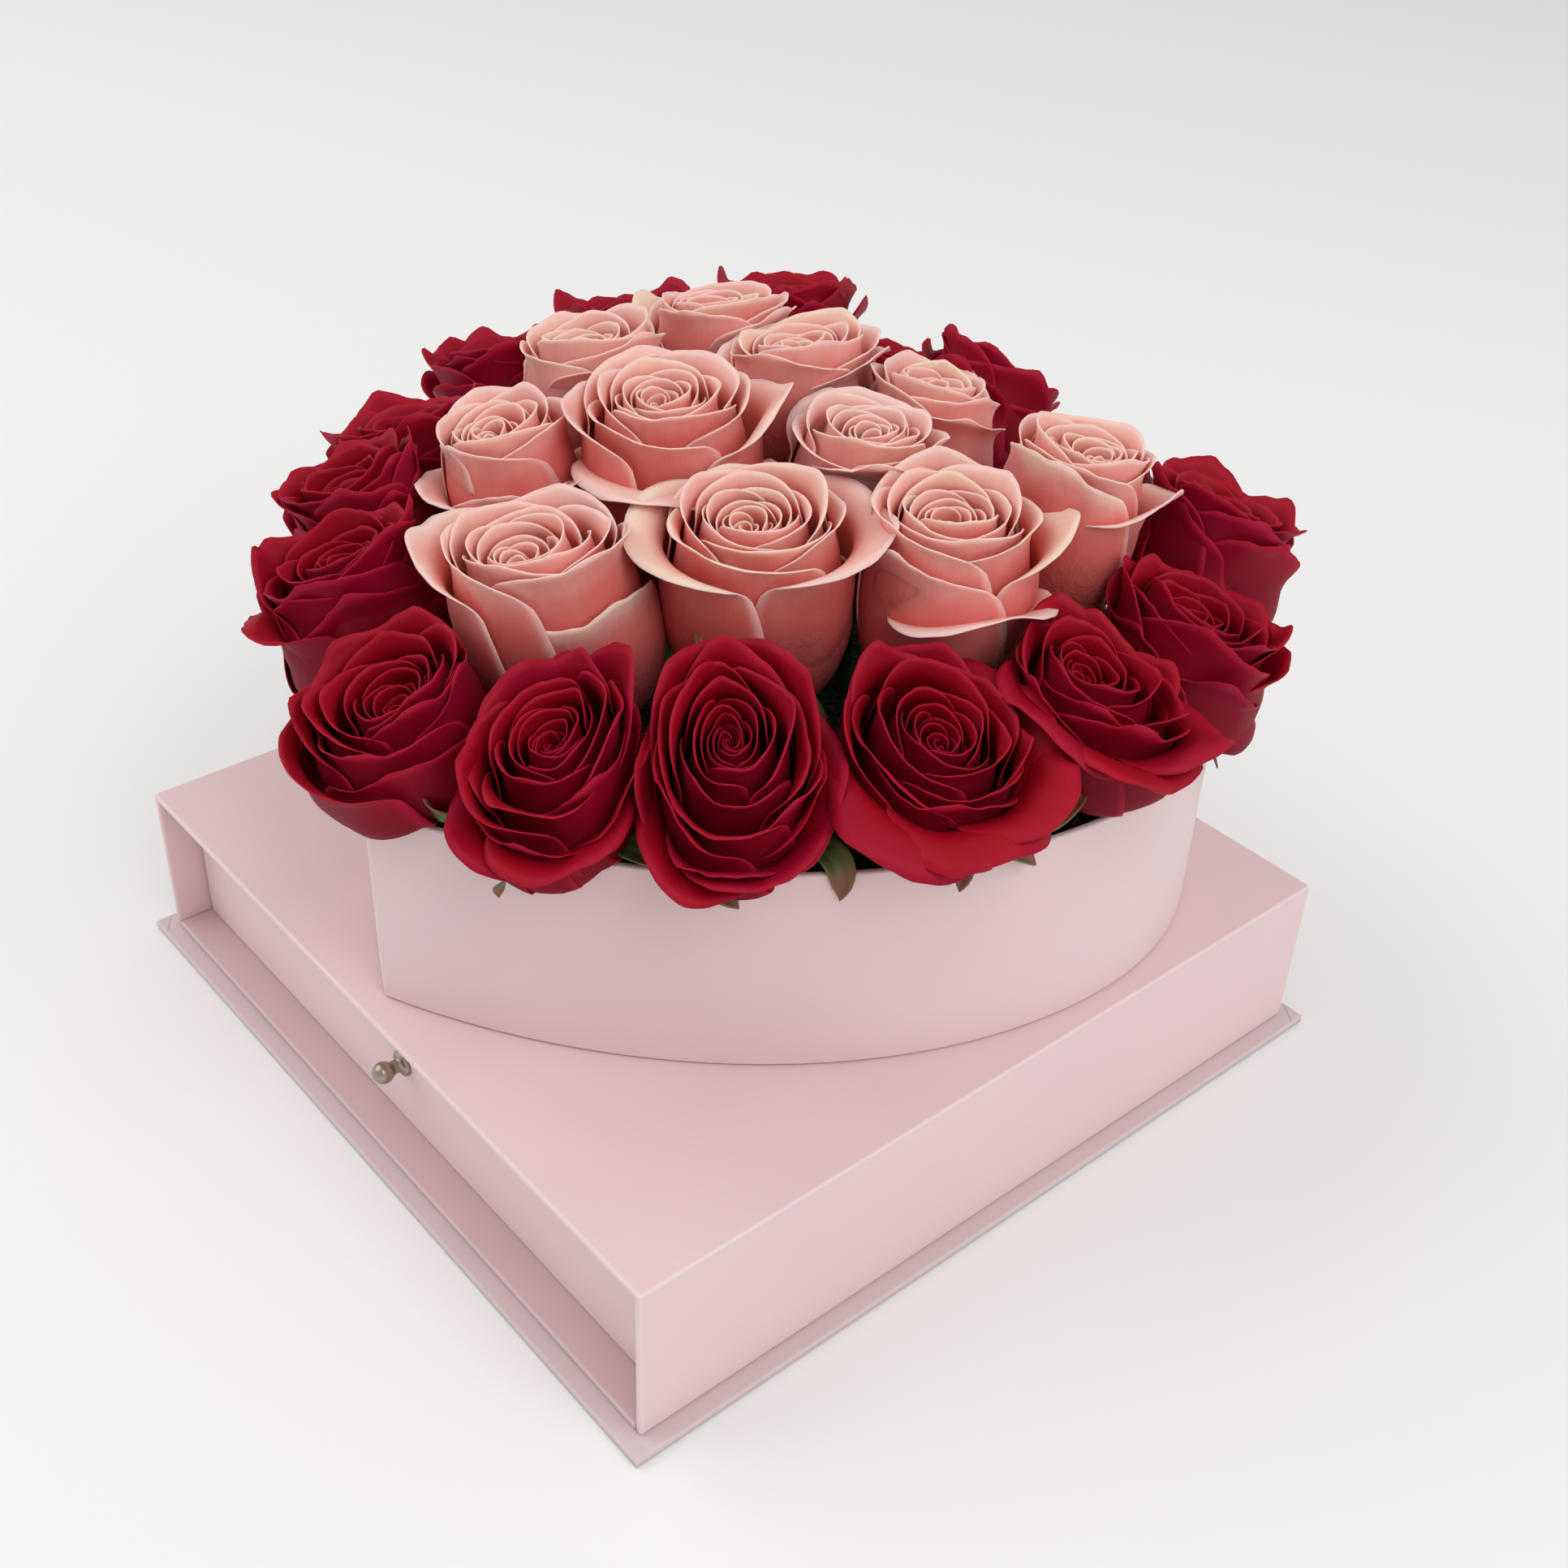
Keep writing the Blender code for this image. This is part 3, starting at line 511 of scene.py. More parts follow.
def cubic(
    first: Vector, handles: tuple[Vector, Vector], last: Vector, steps: int,
) -> Iterator[Vector]:
    """Walk along a cubic curve, without its end."""
    near, far = handles
    for step in range(steps):
        t = step / steps
        s = 1 - t
        yield first * s**3 + near * 3 * s * s * t + far * 3 * s * t * t + last * t**3


@dataclass
class HeartBox:
    """The heart-shaped box: its wall, floor, liner and wet foam."""

    tip: Vector = field(default_factory=lambda: Vector((0, -117.5)) * MM)
    tip_handle: float = 72.6 * MM
    tip_slope: float = math.radians(23.5)
    shoulder: Vector = field(default_factory=lambda: Vector((118.7, 40.6)) * MM)
    shoulder_handles: tuple[float, float] = (68.7 * MM, 32.8 * MM)
    lobe: Vector = field(default_factory=lambda: Vector((60, 113.8)) * MM)
    lobe_handles: tuple[float, float] = (39.8 * MM, 28 * MM)
    notch: Vector = field(default_factory=lambda: Vector((0, 82)) * MM)
    notch_handle: Vector = field(default_factory=lambda: Vector((9, 15)) * MM)
    board: float = 2.0 * MM
    edge_round: float = 0.8 * MM
    coarse: tuple[int, int, int] = (7, 6, 6)
    fine: tuple[int, int, int] = (26, 24, 20)

    def __post_init__(self) -> None:
        """Read the box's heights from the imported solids."""
        low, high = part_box("heart_wall")
        self.bottom = low.z
        self.rim = high.z
        self.foam_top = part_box("floral_foam")[1].z
        corners = self.outline(self.coarse)
        self.starts = np.array(corners, float)
        self.ends = np.roll(self.starts, -1, axis=0)

    def outline(self, steps: tuple[int, int, int]) -> list[Vector]:
        """Walk round the heart against the clock.

        Args:
            steps: Steps from tip to shoulder, from there to the lobe, and on to the notch.

        Returns:
            The corners, from the tip.
        """
        slope = Vector((math.cos(self.tip_slope), math.sin(self.tip_slope)))
        low, high = self.shoulder_handles
        outer, inner = self.lobe_handles
        across, up = Vector((1, 0)), Vector((0, 1))
        below = (self.tip + slope * self.tip_handle, self.shoulder - up * low)
        above = (self.shoulder + up * high, self.lobe + across * outer)
        inwards = (self.lobe - across * inner, self.notch + self.notch_handle)
        right = list(cubic(self.tip, below, self.shoulder, steps[0]))
        right += cubic(self.shoulder, above, self.lobe, steps[1])
        right += cubic(self.lobe, inwards, self.notch, steps[2])
        left = [Vector((-corner.x, corner.y)) for corner in right[:0:-1]]
        return right + [self.notch.copy()] + left

    def outside(self, flat: np.ndarray) -> np.ndarray:
        """Measure how far points lie outside the heart, or below zero inside it."""
        along = self.ends - self.starts
        from_start = flat[:, None, :] - self.starts[None]
        share = (from_start * along).sum(2) / (along**2).sum(1)
        nearest = from_start - np.clip(share, 0, 1)[:, :, None] * along
        distance = np.linalg.norm(nearest, axis=2).min(1)
        low, high = self.starts[:, 1], self.ends[:, 1]
        level = flat[:, 1:2]
        spans = (low > level) != (high > level)
        rise = np.where(high == low, 1.0, high - low)
        crossing = self.starts[:, 0] + along[:, 0] * (level - low) / rise
        inside = (spans & (flat[:, 0:1] < crossing)).sum(1) % 2 == 1
        return np.where(inside, -distance, distance)

    def build(self, papers: dict[str, bpy.types.Material]) -> None:
        """Build the wall, and finish the solids inside it.

        Args:
            papers: Finishes by name.
        """
        bm = bmesh.new()
        foot = [bm.verts.new((spot.x, spot.y, self.bottom)) for spot in self.outline(self.fine)]
        edges = [bm.edges.new((vert, foot[index - 1])) for index, vert in enumerate(foot)]
        walls = bmesh.ops.extrude_edge_only(bm, edges=edges)["geom"]
        raised = [item for item in walls if isinstance(item, bmesh.types.BMVert)]
        bmesh.ops.translate(bm, verts=raised, vec=(0, 0, self.rim - self.bottom))
        bmesh.ops.recalc_face_normals(bm, faces=bm.faces)
        if bm.calc_volume(signed=True) < 0:
            bmesh.ops.reverse_faces(bm, faces=bm.faces)
        wall = finished_piece("heart_box_wall", bm, [papers["heart"]])
        give_wall(wall, self.board)
        round_edges(wall, self.edge_round)
        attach(wall, BOX_BODY)
        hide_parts("heart_wall")
        redress("heart_floor", papers["dusky"])
        redress("foam_liner", papers["film"])
        redress("floral_foam", papers["foam"])
        LOG.info("heart box: wall, floor, liner and foam")


def redress(node: str, finish: bpy.types.Material) -> None:
    """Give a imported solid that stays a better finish."""
    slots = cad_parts[node].material_slots
    for slot in slots:
        slot.material = finish


@dataclass
class DrawerBox:
    """The square box under the heart: base board, sleeve, drawer and knob."""

    sleeve_board: float = 2.2 * MM
    edge_round: float = 0.8 * MM
    base_round: float = 0.7 * MM
    fold_side: float = 7.5 * MM
    fold_rise: float = 0.22 * MM
    fold_inset: float = 0.05  # from the board's corner, as a share of the flap's side
    fold_sides: tuple[float, float] = (0.9, 0.62)  # its two sides, as shares of fold_side
    fold_sunk: float = 0.1 * MM
    plate_radius: float = 3.9 * MM
    plate_edge: float = 0.6 * MM
    plate_face: float = 0.95 * MM
    neck_radius: float = 2.0 * MM
    head_radius: float = 3.2 * MM
    head_out: float = 6.2 * MM
    turn_steps: int = 48
    ball_steps: int = 14

    def build(self, papers: dict[str, bpy.types.Material]) -> None:
        """Build the boards that show and the knob, and finish the drawer.

        Args:
            papers: Finishes by name.
        """
        self._base(papers["base"])
        self._sleeve(papers["sleeve"])
        self._knob(papers["nickel"])
        redress("inner_floor", papers["dusky"])
        redress("drawer_tray", papers["drawer"])
        redress("knob_screw", papers["steel"])
        LOG.info("drawer box: base, sleeve, drawer and knob")

    def _base(self, paper: bpy.types.Material) -> None:
        """The wrapped board that everything stands on."""
        low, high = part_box("base_board")
        bm = cube_between(low, high)
        for across in (-1, 1):
            for along in (-1, 1):
                self._folded_corner(bm, Vector((high.x * across, high.y * along, high.z)))
        board = finished_piece("wrapped_base_board", bm, [paper])
        round_edges(board, self.base_round)
        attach(board, BOX_BODY)
        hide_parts("base_board")

    def _folded_corner(self, bm: bmesh.types.BMesh, corner: Vector) -> None:
        """Lay the paper's folded flap over a corner of the board.

        Args:
            bm: The board.
            corner: One of the upper corners of the board, whose middle is over the origin.
        """
        first = Vector((-math.copysign(self.fold_side, corner.x), 0, 0))
        last = Vector((0, -math.copysign(self.fold_side, corner.y), 0))
        start = corner + (first + last) * self.fold_inset
        start.z -= self.fold_sunk
        wide, deep = self.fold_sides
        verts = [bm.verts.new(spot) for spot in (start, start + first * wide, start + last * deep)]
        flap = bm.faces.new(verts)
        raised = bmesh.ops.extrude_face_region(bm, geom=[flap])["geom"]
        tops = [item for item in raised if isinstance(item, bmesh.types.BMVert)]
        bmesh.ops.translate(bm, verts=tops, vec=(0, 0, self.fold_sunk + self.fold_rise))
        bmesh.ops.recalc_face_normals(bm, faces=bm.faces)

    def _sleeve(self, paper: bpy.types.Material) -> None:
        """The sleeve: a box whose front and underside are open."""
        low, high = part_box("sleeve_shell")
        bm = cube_between(low, high)
        bm.faces.ensure_lookup_table()
        openings = [face for face in bm.faces if face.normal.y < -0.9 or face.normal.z < -0.9]
        bmesh.ops.delete(bm, geom=openings, context="FACES_ONLY")
        sleeve = finished_piece("wrapped_sleeve", bm, [paper])
        give_wall(sleeve, self.sleeve_board)
        round_edges(sleeve, self.edge_round)
        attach(sleeve, BOX_BODY)
        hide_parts("sleeve_shell")

    def _knob(self, nickel: bpy.types.Material) -> None:
        """The turned knob: a round plate, a waisted neck and a ball head."""
        low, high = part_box("drawer_knob")
        front = high.y
        middle = Vector(((low.x + high.x) / 2, 0, (low.z + high.z) / 2))
        bm = bmesh.new()
        corners = [
            (0.0, 0.0),
            (self.plate_radius, 0.0),
            (self.plate_radius, self.plate_edge),
            (self.plate_radius - 0.35 * MM, self.plate_face),
            (self.neck_radius + 0.5 * MM, 1.1 * MM),
            (self.neck_radius, 1.7 * MM),
        ]
        start = math.acos(-math.sqrt(1 - (self.neck_radius / self.head_radius) ** 2))
        for step in range(self.ball_steps + 1):
            angle = start * (1 - step / self.ball_steps)
            out = self.head_out + self.head_radius * math.cos(angle)
            corners.append((self.head_radius * math.sin(angle), out))
        verts = [bm.verts.new(middle + Vector((radius, front - out, 0))) for radius, out in corners]
        edges = [bm.edges.new(pair) for pair in zip(verts, verts[1:])]
        bmesh.ops.spin(
            bm, geom=verts + edges, cent=middle, axis=(0, 1, 0),
            angle=2 * math.pi, steps=self.turn_steps, use_merge=True,
        )
        bmesh.ops.remove_doubles(bm, verts=bm.verts, dist=0.01 * MM)
        bmesh.ops.recalc_face_normals(bm, faces=bm.faces)
        knob = finished_piece("turned_knob", bm, [nickel])
        knob.data.set_sharp_from_angle(angle=math.radians(50))
        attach(knob, DRAWER_BODY)
        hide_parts("drawer_knob")


@dataclass(frozen=True)
class Whorl:
    """One layer of petals, with radii and heights as shares of the bloom's own.

    Attributes:
        petals: How many petals it has.
        belly: Radius where a petal is fullest.
        rim: Radius where the rim starts to roll out.
        top: Height where the rim starts to roll out.
        half: Half of the angle that one petal takes up, in degrees.
        roll: How far the rim rolls outwards, in degrees.
        lip: Length of the rolled part, as a share of the height.
        point: How far the tip is drawn out, as a share of the petal's length.
        ruffle: How wavy its edge is, as a share of the radius.
        heading: World heading of its first petal in degrees, or None for a drawn one.
        fold: How sharply the rim turns over, from 1, a round roll, upwards.
    """

    petals: int
    belly: float
    rim: float
    top: float
    half: float
    roll: float
    lip: float
    point: float = 0.03
    ruffle: float = 0.0
    heading: float | None = None
    fold: float = 1.0


def reflexed(
    *headings: float, top: float = 0.72, lip: float = 0.6, roll: float = 136, half: float = 62,
) -> tuple[Whorl, ...]:
    """Make broad outer petals that are folded back and hang down over the rim.

    Args:
        headings: The world heading of each, in degrees.
        top: Height share of the fold.
        lip: Length of the hanging part, as a share of the height.
        roll: How far it is folded over, in degrees.
        half: Half of the angle that each takes up, in degrees.

    Returns:
        Whorls of one petal each.
    """
    return tuple(
        Whorl(1, 0.86, 0.78, top, half, roll, lip, ruffle=0.04, heading=heading, fold=2.4)
        for heading in headings
    )


def guard(
    heading: float, top: float, roll: float = 110, lip: float = 0.2, half: float = 50,
    rim: float = 0.9, point: float = 0.08, fold: float = 1.3,
) -> Whorl:
    """Make one guard petal, which stands a little apart outside the whorls.

    Args:
        heading: The world heading of its middle, in degrees.
        top: Height share where its rim starts to roll out.
        roll: How far the rim rolls outwards, in degrees.
        lip: Length of the rolled part, as a share of the height.
        half: Half of the angle that it takes up, in degrees.
        rim: Radius share where the rim starts to roll out.
        point: How far the tip is drawn out.
        fold: How sharply the rim turns over.

    Returns:
        A whorl of one petal.
    """
    return Whorl(1, 0.97, rim, top, half, roll, lip, point, 0.03, heading, fold)


@dataclass(frozen=True)
class Variety:
    """A kind of rose.

    Attributes:
        height: Height of its bloom.
        radius: Radius of its bloom.
        whorls: Its layers, from the heart outwards.
        guards: Its outermost petals, where a rose has none of its own.
        slot: The record's material slot of its petals; not used.
    """

    height: float
    radius: float
    whorls: tuple[Whorl, ...]
    guards: tuple[Whorl, ...]
    slot: str


class Kind(Enum):
    """The two kinds of rose in the box."""

    RED = Variety(
        44 * MM,
        34 * MM,
        (
            Whorl(1, 0.08, 0.04, 0.78, 250, 12, 0.05),
            Whorl(3, 0.15, 0.10, 0.82, 118, 16, 0.05),
            Whorl(3, 0.24, 0.17, 0.85, 112, 20, 0.06, 0.04, 0.008),
            Whorl(3, 0.34, 0.26, 0.89, 106, 26, 0.07, 0.05, 0.012),
            Whorl(3, 0.46, 0.37, 0.92, 98, 36, 0.10, 0.05, 0.018),
            Whorl(3, 0.59, 0.51, 0.91, 92, 54, 0.15, 0.06, 0.024),
            Whorl(4, 0.72, 0.65, 0.83, 74, 76, 0.22, 0.06, 0.030),
        ),
        (
            Whorl(4, 0.82, 0.73, 0.72, 74, 76, 0.34, 0.06, 0.038),
            Whorl(5, 0.90, 0.80, 0.52, 62, 98, 0.38, 0.05, 0.040),
        ),
        "red_petals",
    )
    PINK = Variety(
        60 * MM,
        31 * MM,
        (
            Whorl(1, 0.08, 0.04, 0.86, 250, 8, 0.04),
            Whorl(3, 0.16, 0.10, 0.89, 118, 10, 0.04),
            Whorl(3, 0.27, 0.19, 0.91, 112, 12, 0.05, 0.02),
            Whorl(3, 0.39, 0.29, 0.93, 108, 16, 0.05, 0.02),
            Whorl(3, 0.51, 0.40, 0.93, 102, 26, 0.07, 0.03, 0.006),
            Whorl(3, 0.65, 0.52, 0.92, 98, 42, 0.10, 0.03, 0.010),
            Whorl(3, 0.79, 0.65, 0.90, 94, 64, 0.14, 0.04, 0.016),
        ),
        (
            Whorl(3, 0.92, 0.77, 0.84, 90, 88, 0.18, 0.05, 0.022),
            Whorl(2, 0.98, 0.83, 0.74, 80, 112, 0.24, 0.06, 0.026),
        ),
        "pink_petals",
    )


Place = tuple[float, float, float]


@dataclass(frozen=True)
class Sepal:
    """One sepal that shows: it leaves the calyx, and curls from its knee to its tip.

    Attributes:
        knee: Where it is widest, in millimetres.
        tip: Where it ends, in millimetres.
        width: Its greatest width, in millimetres.
        twist: How far its sides are turned up, from -1 to 1.
    """

    knee: Place
    tip: Place
    width: float = 8.0
    twist: float = 0.4


@dataclass
class Rose:
    """One cut rose.

    Attributes:
        name: Its name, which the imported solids' names start with.
        kind: Its variety.
        face: Middle of its open face, in millimetres.
        lean: Its lean from upright, in degrees.
        towards: The heading it leans towards, in degrees.
        turn: How far it is turned about its axis, in degrees.
        size: Its size beside others of its kind.
        guards: Its own outermost petals, where they are seen.
        sepals: Its sepals that are seen.
        girth: Its width beside others of its size.
        pale: How pale its petals are, 0 to 1.
    """

    name: str
    kind: Kind
    face: Place
    lean: float
    towards: float
    turn: float
    size: float
    guards: tuple[Whorl, ...] = ()
    sepals: tuple[Sepal, ...] = ()
    girth: float = 1.0
    pale: float = 0.15

    CALYX = 6 * MM
    CALYX_GAP = 0.3 * MM
    NECK_INSET = 1.5 * MM
    BENT_FROM = 10  # lean from which the neck is bent

    def __post_init__(self) -> None:
        """Work out the rose's axis, its base, its foot and the frame round it."""
        lean, towards = math.radians(self.lean), math.radians(self.towards)
        turn = math.radians(self.turn)
        self.radius = self.kind.value.radius * self.size * self.girth
        self.height = self.kind.value.height * self.size
        heading = Vector((math.cos(towards), math.sin(towards), 0))
        self.axis = heading * math.sin(lean) + Vector((0, 0, math.cos(lean)))
        self.top = Vector(self.face) * MM
        self.base = self.top - self.axis * self.height
        self.foot = self.base - self.axis * (self.CALYX + self.CALYX_GAP)
        if self.lean > self.BENT_FROM:
            self.foot -= heading * self.NECK_INSET
        side = self.axis.cross(Vector((1, 0, 0))).normalized()
        across = side.cross(self.axis)
        self.across = across * math.cos(turn) + side * math.sin(turn)
        self.side = self.axis.cross(self.across)
        self.drift = random.Random(self.name).uniform(0, 2 * math.pi)

    def middle_at(self, level: np.ndarray) -> np.ndarray:
        """Return the middle of the rose, from its foot to its face, at given heights."""
        base, foot, axis = (np.array(item) for item in (self.base, self.foot, self.axis))
        reach = np.minimum(level, self.top.z + self.CALYX) - base[2]
        share = np.clip((level - foot[2]) / (base[2] - foot[2]), 0, 1)
        below = foot[:2] + share[:, None] * (base[:2] - foot[:2])
        above = base[:2] + axis[:2] * (reach / axis[2])[:, None]
        return np.where((reach < 0)[:, None], below, above)

    def in_world(self, radius: np.ndarray, angle: np.ndarray, height: np.ndarray) -> np.ndarray:
        """Place points given round the rose's axis, above its base."""
        around = np.cos(angle)[:, None] * np.array(self.across)
        around += np.sin(angle)[:, None] * np.array(self.side)
        raised = np.array(self.axis) * height[:, None]
        return np.array(self.base) + around * radius[:, None] + raised


def smooth(value: np.ndarray, low: float, high: float) -> np.ndarray:
    """Return 0 below low, 1 above high, and a smooth step between them."""
    share = np.clip((value - low) / (high - low), 0, 1)
    return share * share * (3 - 2 * share)


@dataclass(frozen=True)
class Shelf:
    """How petals or sepals rest on the heart's rim and hang down beside it.

    Attributes:
        room: How far above the rim they stay.
        width: How far on each side of the wall the shelf is level.
        fall: How steeply it falls away from there.
        ease: How softly they bend over its edge.
    """

    room: float
    width: float
    fall: float
    ease: float


PETAL_SHELF = Shelf(2.0 * MM, 6.5 * MM, 0.9, 2.5 * MM)
SEPAL_SHELF = Shelf(0.8 * MM, 3.0 * MM, 1.6, 1.0 * MM)


@dataclass
class Bouquet:
    """All the roses, each fitted in among the others and over the heart's rim."""

    heart: HeartBox
    roses: list[Rose]
    seed: int = 11
    overlap: float = 3.2 * MM
    widest: float = 1.04
    crowd_reach: float = 80 * MM
    petal_thick: float = 0.35 * MM
    rows: tuple[int, int] = (10, 14)  # rows of a petal's grid in the heart and outside it
    heart_of_bloom: float = 0.5  # radius share of the heart
    column: float = 2.8 * MM  # width of one column of a petal's grid at its rim
    fewest: int = 9
    sepal_grid: tuple[int, int] = (7, 22)
    sepal_thick: float = 0.5 * MM
    stem_depth: float = 26 * MM
    stem_radius: float = 2.3 * MM
    calyx_radius: float = 4.6 * MM
    stem_sides: int = 14

    def settled(self, points: np.ndarray, rose: Rose, shelf: Shelf) -> np.ndarray:
        """Fit points of a rose in among the others and over the heart's rim.

        Args:
            points: The points, in metres.
            rose: The rose that they belong to.
            shelf: How they clear the rim.

        Returns:
            The moved points.
        """
        away = np.abs(self.heart.outside(points[:, :2]) + self.heart.board / 2)
        floor = self.heart.rim + shelf.room - np.maximum(0.0, away - shelf.width) * shelf.fall
        floor = np.maximum(floor, self.heart.foam_top + shelf.room)
        level = floor + shelf.ease * np.logaddexp(0.0, (points[:, 2] - floor) / shelf.ease)
        own = rose.middle_at(level)
        flat = points[:, :2].copy()
        for other in self.roses:
            if other is rose or (other.top - rose.top).length > self.crowd_reach:
                continue
            gap = other.middle_at(level) - own
            distance = np.linalg.norm(gap, axis=1)
            heading = gap / distance[:, None]
            room_there = distance * rose.radius / (rose.radius + other.radius) + self.overlap
            along = ((flat - own) * heading).sum(1)
            share = np.maximum(0.0, 1 - room_there / (rose.radius * self.widest))
            flat -= heading * (np.maximum(0.0, along) * share)[:, None]
        return np.column_stack([flat, level])

    def build(self, petals: dict[Kind, list], leaf: bpy.types.Material) -> None:
        """Build every rose.

        Args:
            petals: The materials of each kind's petals.
            leaf: The material of stems and sepals.
        """
        for rose in self.roses:
            self._bloom(rose, petals[rose.kind])
            self._green(rose, leaf)
            LOG.info("%s: petals, stem and sepals", rose.name)

    def _bloom(self, rose: Rose, finishes: list) -> None:
        """Build one bloom, whorl by whorl."""
        draw = random.Random(f"{self.seed} {rose.name}")
        bm = bmesh.new()
        layer = bm.verts.layers.float_vector.new("petal_spot")
        tone = bm.verts.layers.float.new("rose_pale")
        turn = 0.0
        for whorl in rose.kind.value.whorls + (rose.guards or rose.kind.value.guards):
            turn += 360 / whorl.petals * 0.5 + draw.uniform(-8, 8)
            if whorl.heading is not None:
                turn = whorl.heading - rose.turn
            for petal in range(whorl.petals):
                heading = turn + 360 * petal / whorl.petals
                heading += draw.uniform(-9, 9) if whorl.heading is None else 0
                self._petal(bm, layer, rose, PetalShape(rose, whorl, heading, draw), draw)
        for vert in bm.verts:
            vert[tone] = rose.pale
        bloom = finished_piece(f"{rose.name}_petals", bm, finishes)
        wall = give_wall(bloom, self.petal_thick, middle=True)
        wall.material_offset = 1
        wall.material_offset_rim = 1
        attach(bloom, BOX_BODY)
        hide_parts(bloom_node(rose.name))

    def _petal(
        self, bm: bmesh.types.BMesh, layer: bmesh.types.BMLayerItem, rose: Rose,
        shape: "PetalShape", draw: random.Random,
    ) -> None:
        """Grow one petal from a flat grid.

        Args:
            bm: The bloom so far.
            layer: Where each vertex keeps its place on the petal.
            rose: The rose.
            shape: The petal's surface.
            draw: The rose's own random draws.
        """
        columns = max(self.fewest, round(shape.width() / self.column))
        rows = self.rows[shape.whorl.belly > self.heart_of_bloom]
        verts = bmesh.ops.create_grid(bm, x_segments=columns, y_segments=rows, size=1.0)["verts"]
        flat = np.array([vert.co.xy for vert in verts])
        across, up = flat[:, 0], ((flat[:, 1] + 1) / 2) ** shape.CROWDED_UP
        points = self.settled(shape.points(across, up), rose, PETAL_SHELF)
        chance = draw.random()
        for vert, point, spot_across, spot_up in zip(verts, points, across, up):
            vert.co = point
            vert[layer] = (spot_across, spot_up, chance)

    def _green(self, rose: Rose, leaf: bpy.types.Material) -> None:
        """Build the stem, the calyx and five curled sepals of one rose."""
        draw = random.Random(f"{self.seed} green {rose.name}")
        bm = bmesh.new()
        layer = bm.verts.layers.float_vector.new("petal_spot")
        shape = SepalShape(rose)
        columns, rows = self.sepal_grid
        for blade in range(shape.COUNT):
            grid = bmesh.ops.create_grid(bm, x_segments=columns, y_segments=rows, size=1.0)["verts"]
            flat = np.array([vert.co.xy for vert in grid])
            across, up = flat[:, 0], (flat[:, 1] + 1) / 2
            if blade < len(rose.sepals):
                points = shape.hanging(across, up, rose.sepals[blade])
            else:
                heading = rose.turn + 360 * blade / shape.COUNT + draw.uniform(-10, 10)
                points = shape.spread(across, up, heading, draw)
                points = self.settled(points, rose, SEPAL_SHELF)
            chance = draw.random()
            for vert, point, spot_across, spot_up in zip(grid, points, across, up):
                vert.co = point
                vert[layer] = (spot_across, spot_up, chance)
        sepals = finished_piece(f"{rose.name}_sepals", bm, [leaf])
        give_wall(sepals, self.sepal_thick, middle=True)
        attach(sepals, BOX_BODY)
        stem = finished_piece(f"{rose.name}_stem", self._stem(rose), [leaf])
        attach(stem, BOX_BODY)
        for piece in (sepals, stem):
            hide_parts(f"{rose.name}_green")

    def _stem(self, rose: Rose) -> bmesh.types.BMesh:
        """Bridge rings to a stem and a calyx, from the foam up to under the petals."""
        bm = bmesh.new()
        upright = Vector((0, 0, 1))
        top, stem, hip = self.heart.foam_top, self.stem_radius, self.calyx_radius
        rings = [
            (Vector((rose.foot.x, rose.foot.y, level)), upright, stem)
            for level in (top - self.stem_depth, top + MM)
        ]
        rings += [
            (rose.base - rose.axis * below * MM, rose.axis, radius)
            for below, radius in (
                (6.0, stem * 1.05), (4.6, hip * 0.82), (2.6, hip), (0.6, hip * 0.94),
                (-0.3, hip * 1.05),
            )
        ]
        loops = []
        for middle, axis, radius in rings:
            circle = bmesh.ops.create_circle(bm, segments=self.stem_sides, radius=radius)["verts"]
            turn = upright.rotation_difference(axis)
            for vert in circle:
                vert.co = turn @ vert.co + middle
            loops.append(circle)
        for lower, upper in zip(loops, loops[1:]):
            for index, vert in enumerate(lower):
                bm.faces.new((lower[index - 1], vert, upper[index], upper[index - 1]))
        bm.faces.new(loops[0])
        bm.faces.new(loops[-1])
        bmesh.ops.recalc_face_normals(bm, faces=bm.faces)
        return bm


JOINED = (
    ("red_06", "red_07"), ("red_09", "red_10"), ("pink_07", "pink_08"), ("pink_10", "pink_11"),
)


def bloom_node(name: str) -> str:
    """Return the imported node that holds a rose's bloom."""
    for first, second in JOINED:
        if name in (first, second):
            return f"{first}_and_{second[-2:]}_blooms"
    return f"{name}_bloom"


